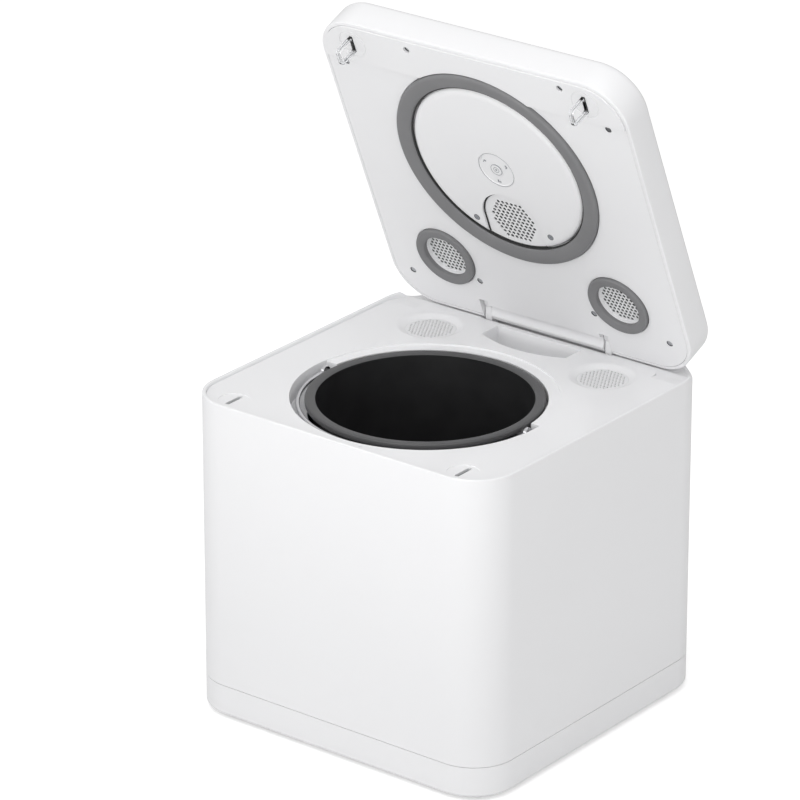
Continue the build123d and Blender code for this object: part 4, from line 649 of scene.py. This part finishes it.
def extruded(points, low, high):
    bm = freshMesh()
    face = bm.faces.new([bm.verts.new((x, y, low)) for x, y in points])
    raised = bmesh.ops.extrude_face_region(bm, geom=[face])["geom"]
    bmesh.ops.translate(bm, verts=[v for v in raised if isinstance(v, bmesh.types.BMVert)], vec=(0, 0, high - low))
    return bm


def makeGrille(name, kind, node, side, bodyName, screenUp):
    settings = grilles[kind]
    x, y = settings["centre"]
    centre = (side * x, y)
    low, high = settings["low"], settings["low"] + grilleWall
    if kind == "steam":
        bm = extruded(archOutline(settings), low, high)
    else:
        bm = freshMesh()
        addCylinder(bm, centre, settings["radius"], low, high, steps=96)
    piece = asObject(bm, name)
    holes = freshMesh()
    for dx, dy in staggered(settings):
        addCylinder(holes, (centre[0] + dx, centre[1] + dy), settings["holeRadius"], low - 1 * mm, high + 1 * mm, 18)
    carve(piece, asObject(holes, name + "Holes"))
    smoothShade(piece, 35)
    slotName = slotOfNode[node]
    onLid = bodyName == "lid"
    finishPiece(piece, bodyName, materials[slotName], slotName, node, onLid=onLid)
    screen = freshMesh()
    start = high + 0.2 * mm if screenUp else low - 0.7 * mm
    addCylinder(screen, centre, settings["field"] + 1.2 * mm, start, start + 0.5 * mm, steps=64)
    backing = asObject(screen, name + "Screen")
    smoothShade(backing, 35)
    finishPiece(backing, bodyName, materials["black_plastic"], "black_plastic", onLid=onLid)


def makeArchCornerShade():
    # dark band painted as the shade in the corner between the arch's floor and its wall
    settings = grilles["steam"]
    outer = archOutline(settings)
    middle = Vector((0, settings["centre"][1]))
    inner = [tuple(middle + (Vector(point) - middle) * 0.955) for point in outer]
    top = settings["low"] - 0.02 * mm
    # black band that is painted shade, not a seal
    bm = extruded(outer, top - 0.5 * mm, top)
    piece = asObject(bm, "paintedArchShade")
    carve(piece, asObject(extruded(inner, top - 2 * mm, top + 2 * mm), "archTool"))
    smoothShade(piece, 40)
    finishPiece(piece, "lid", materials["black_rubber"], "black_rubber", onLid=True)


makeArchCornerShade()
makeGrille("steamGrille", "steam", "steam_grille", 1, "lid", True)
for side, word in ((-1, "left"), (1, "right")):
    makeGrille(word + "LidGrille", "lid", "lid_grille_" + word, side, "lid", True)
    makeGrille(word + "DeckGrille", "deck", "deck_grille_" + word, side, "body", False)
print("grilles made")


# bucket

def makeBucket():
    low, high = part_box("bucket")
    mouth, wall, draft, turn = 78.5 * mm, 1.6 * mm, 2.4 * mm, 12 * mm
    floorRadius = mouth - draft
    floor = low.z + wall
    tube, tubeTop = 13 * mm, low.z + 22 * mm
    inner = [(8 * mm, tubeTop), (tube - 2 * mm, tubeTop)]
    inner += bend((tube - 2 * mm, tubeTop), (tube - 0.9 * mm, tubeTop), (tube, tubeTop - 0.9 * mm),
                  (tube, tubeTop - 2 * mm), 6)[1:]
    inner += [(tube, floor)]
    inner += bend((floorRadius - turn, floor), (floorRadius - turn * 0.45, floor),
                  (floorRadius, floor + turn * 0.45), (floorRadius, floor + turn), 12)
    inner += [(floorRadius, floor + turn), (mouth, high.z)]
    outerWall = [(mouth + wall, high.z), (floorRadius + wall, floor + turn)]
    outerWall += bend((floorRadius + wall, floor + turn), (floorRadius + wall, floor + turn * 0.4),
                      (floorRadius - turn * 0.4, low.z), (floorRadius - turn, low.z), 12)[1:]
    outerWall += [(floorRadius - turn, low.z), (tube - wall, low.z), (tube - wall, tubeTop - wall),
                  (8 * mm, tubeTop - wall)]
    piece = asObject(spinProfile(inner + outerWall, (0, bucketY), 160), "bucketPot")
    smoothShade(piece, 40)
    return finishPiece(piece, "bucket", materials["nonstick_aluminium"], "nonstick_aluminium", "bucket")


makeBucket()
print("bucket made")


# stage: white floor, world, lamps and camera

def whiteFloor():
    bm = freshMesh()
    bmesh.ops.create_grid(bm, x_segments=1, y_segments=1, size=6)
    floor = asObject(bm, "studioFloor", closeNormals=False)
    material = bpy.data.materials.new("studioWhite")
    material.use_nodes = True
    nodes, links = material.node_tree.nodes, material.node_tree.links
    shader = nodes["Principled BSDF"]
    shader.inputs["Base Color"].default_value = (0.86, 0.86, 0.86, 1)
    shader.inputs["Roughness"].default_value = 0.55
    path = nodes.new("ShaderNodeLightPath")
    lift = nodes.new("ShaderNodeMath")
    lift.operation = "MULTIPLY"
    lift.inputs[1].default_value = stage["floorLift"]
    links.new(path.outputs["Is Camera Ray"], lift.inputs[0])
    shader.inputs["Emission Color"].default_value = (1, 1, 1, 1)
    links.new(lift.outputs["Value"], shader.inputs["Emission Strength"])
    floor.data.materials.append(material)
    return floor


stage = {
    "floorLift": 0.42,
    "worldLight": 0.62,
    "camera": (2.1526, -2.8145, 1.7457),
    "view": (-0.5658, 0.7250, -0.3928),
    "lens": 241.9,
}


def makeWorld():
    world = bpy.data.worlds.new("studio")
    bpy.context.scene.world = world
    world.use_nodes = True
    nodes, links = world.node_tree.nodes, world.node_tree.links
    path = nodes.new("ShaderNodeLightPath")
    seen = nodes.new("ShaderNodeMath")
    seen.operation = "MAXIMUM"
    links.new(path.outputs["Is Camera Ray"], seen.inputs[0])
    links.new(path.outputs["Is Transmission Ray"], seen.inputs[1])
    level = nodes.new("ShaderNodeMapRange")
    level.inputs["To Min"].default_value = stage["worldLight"]
    level.inputs["To Max"].default_value = 1.0
    links.new(seen.outputs["Value"], level.inputs["Value"])
    links.new(level.outputs["Result"], nodes["Background"].inputs["Strength"])
    nodes["Background"].inputs["Color"].default_value = (1, 1, 1, 1)


def addLamp(name, place, aim, size, power):
    lamp = bpy.data.lights.new(name, "AREA")
    lamp.shape = "RECTANGLE"
    lamp.size, lamp.size_y = size
    lamp.energy = power
    holder = bpy.data.objects.new(name, lamp)
    holder.location = place
    direction = Vector(aim) - Vector(place)
    holder.rotation_euler = direction.to_track_quat("-Z", "Y").to_euler()
    bpy.context.scene.collection.objects.link(holder)
    return holder


def makeCamera():
    data = bpy.data.cameras.new("photoCamera")
    data.lens = stage["lens"]
    data.sensor_width = 36
    data.sensor_fit = "HORIZONTAL"
    data.clip_start = 0.1
    data.clip_end = 50
    holder = bpy.data.objects.new("photoCamera", data)
    holder.location = stage["camera"]
    holder.rotation_euler = Vector(stage["view"]).to_track_quat("-Z", "Y").to_euler()
    bpy.context.scene.collection.objects.link(holder)
    bpy.context.scene.camera = holder


whiteFloor()
makeWorld()
makeCamera()
addLamp("topSoft", (0.2, -0.9, 2.3), (0, 0, 0.25), (2.2, 2.2), 22)
addLamp("frontLeft", (-1.6, -2.2, 1.3), (0, 0, 0.25), (1.6, 1.6), 6)
addLamp("frontRight", (2.3, -2.0, 1.2), (0, 0, 0.3), (2.0, 2.0), 12)
lidFill = addLamp("lidFill", (0.2, -1.1, 0.5), (0, 0.12, 0.4), (0.5, 0.25), 0.22)
lidFill.data.spread = math.radians(50)
lidFill.visible_camera = False
bpy.context.scene.view_settings.view_transform = "Standard"
print("stage made")
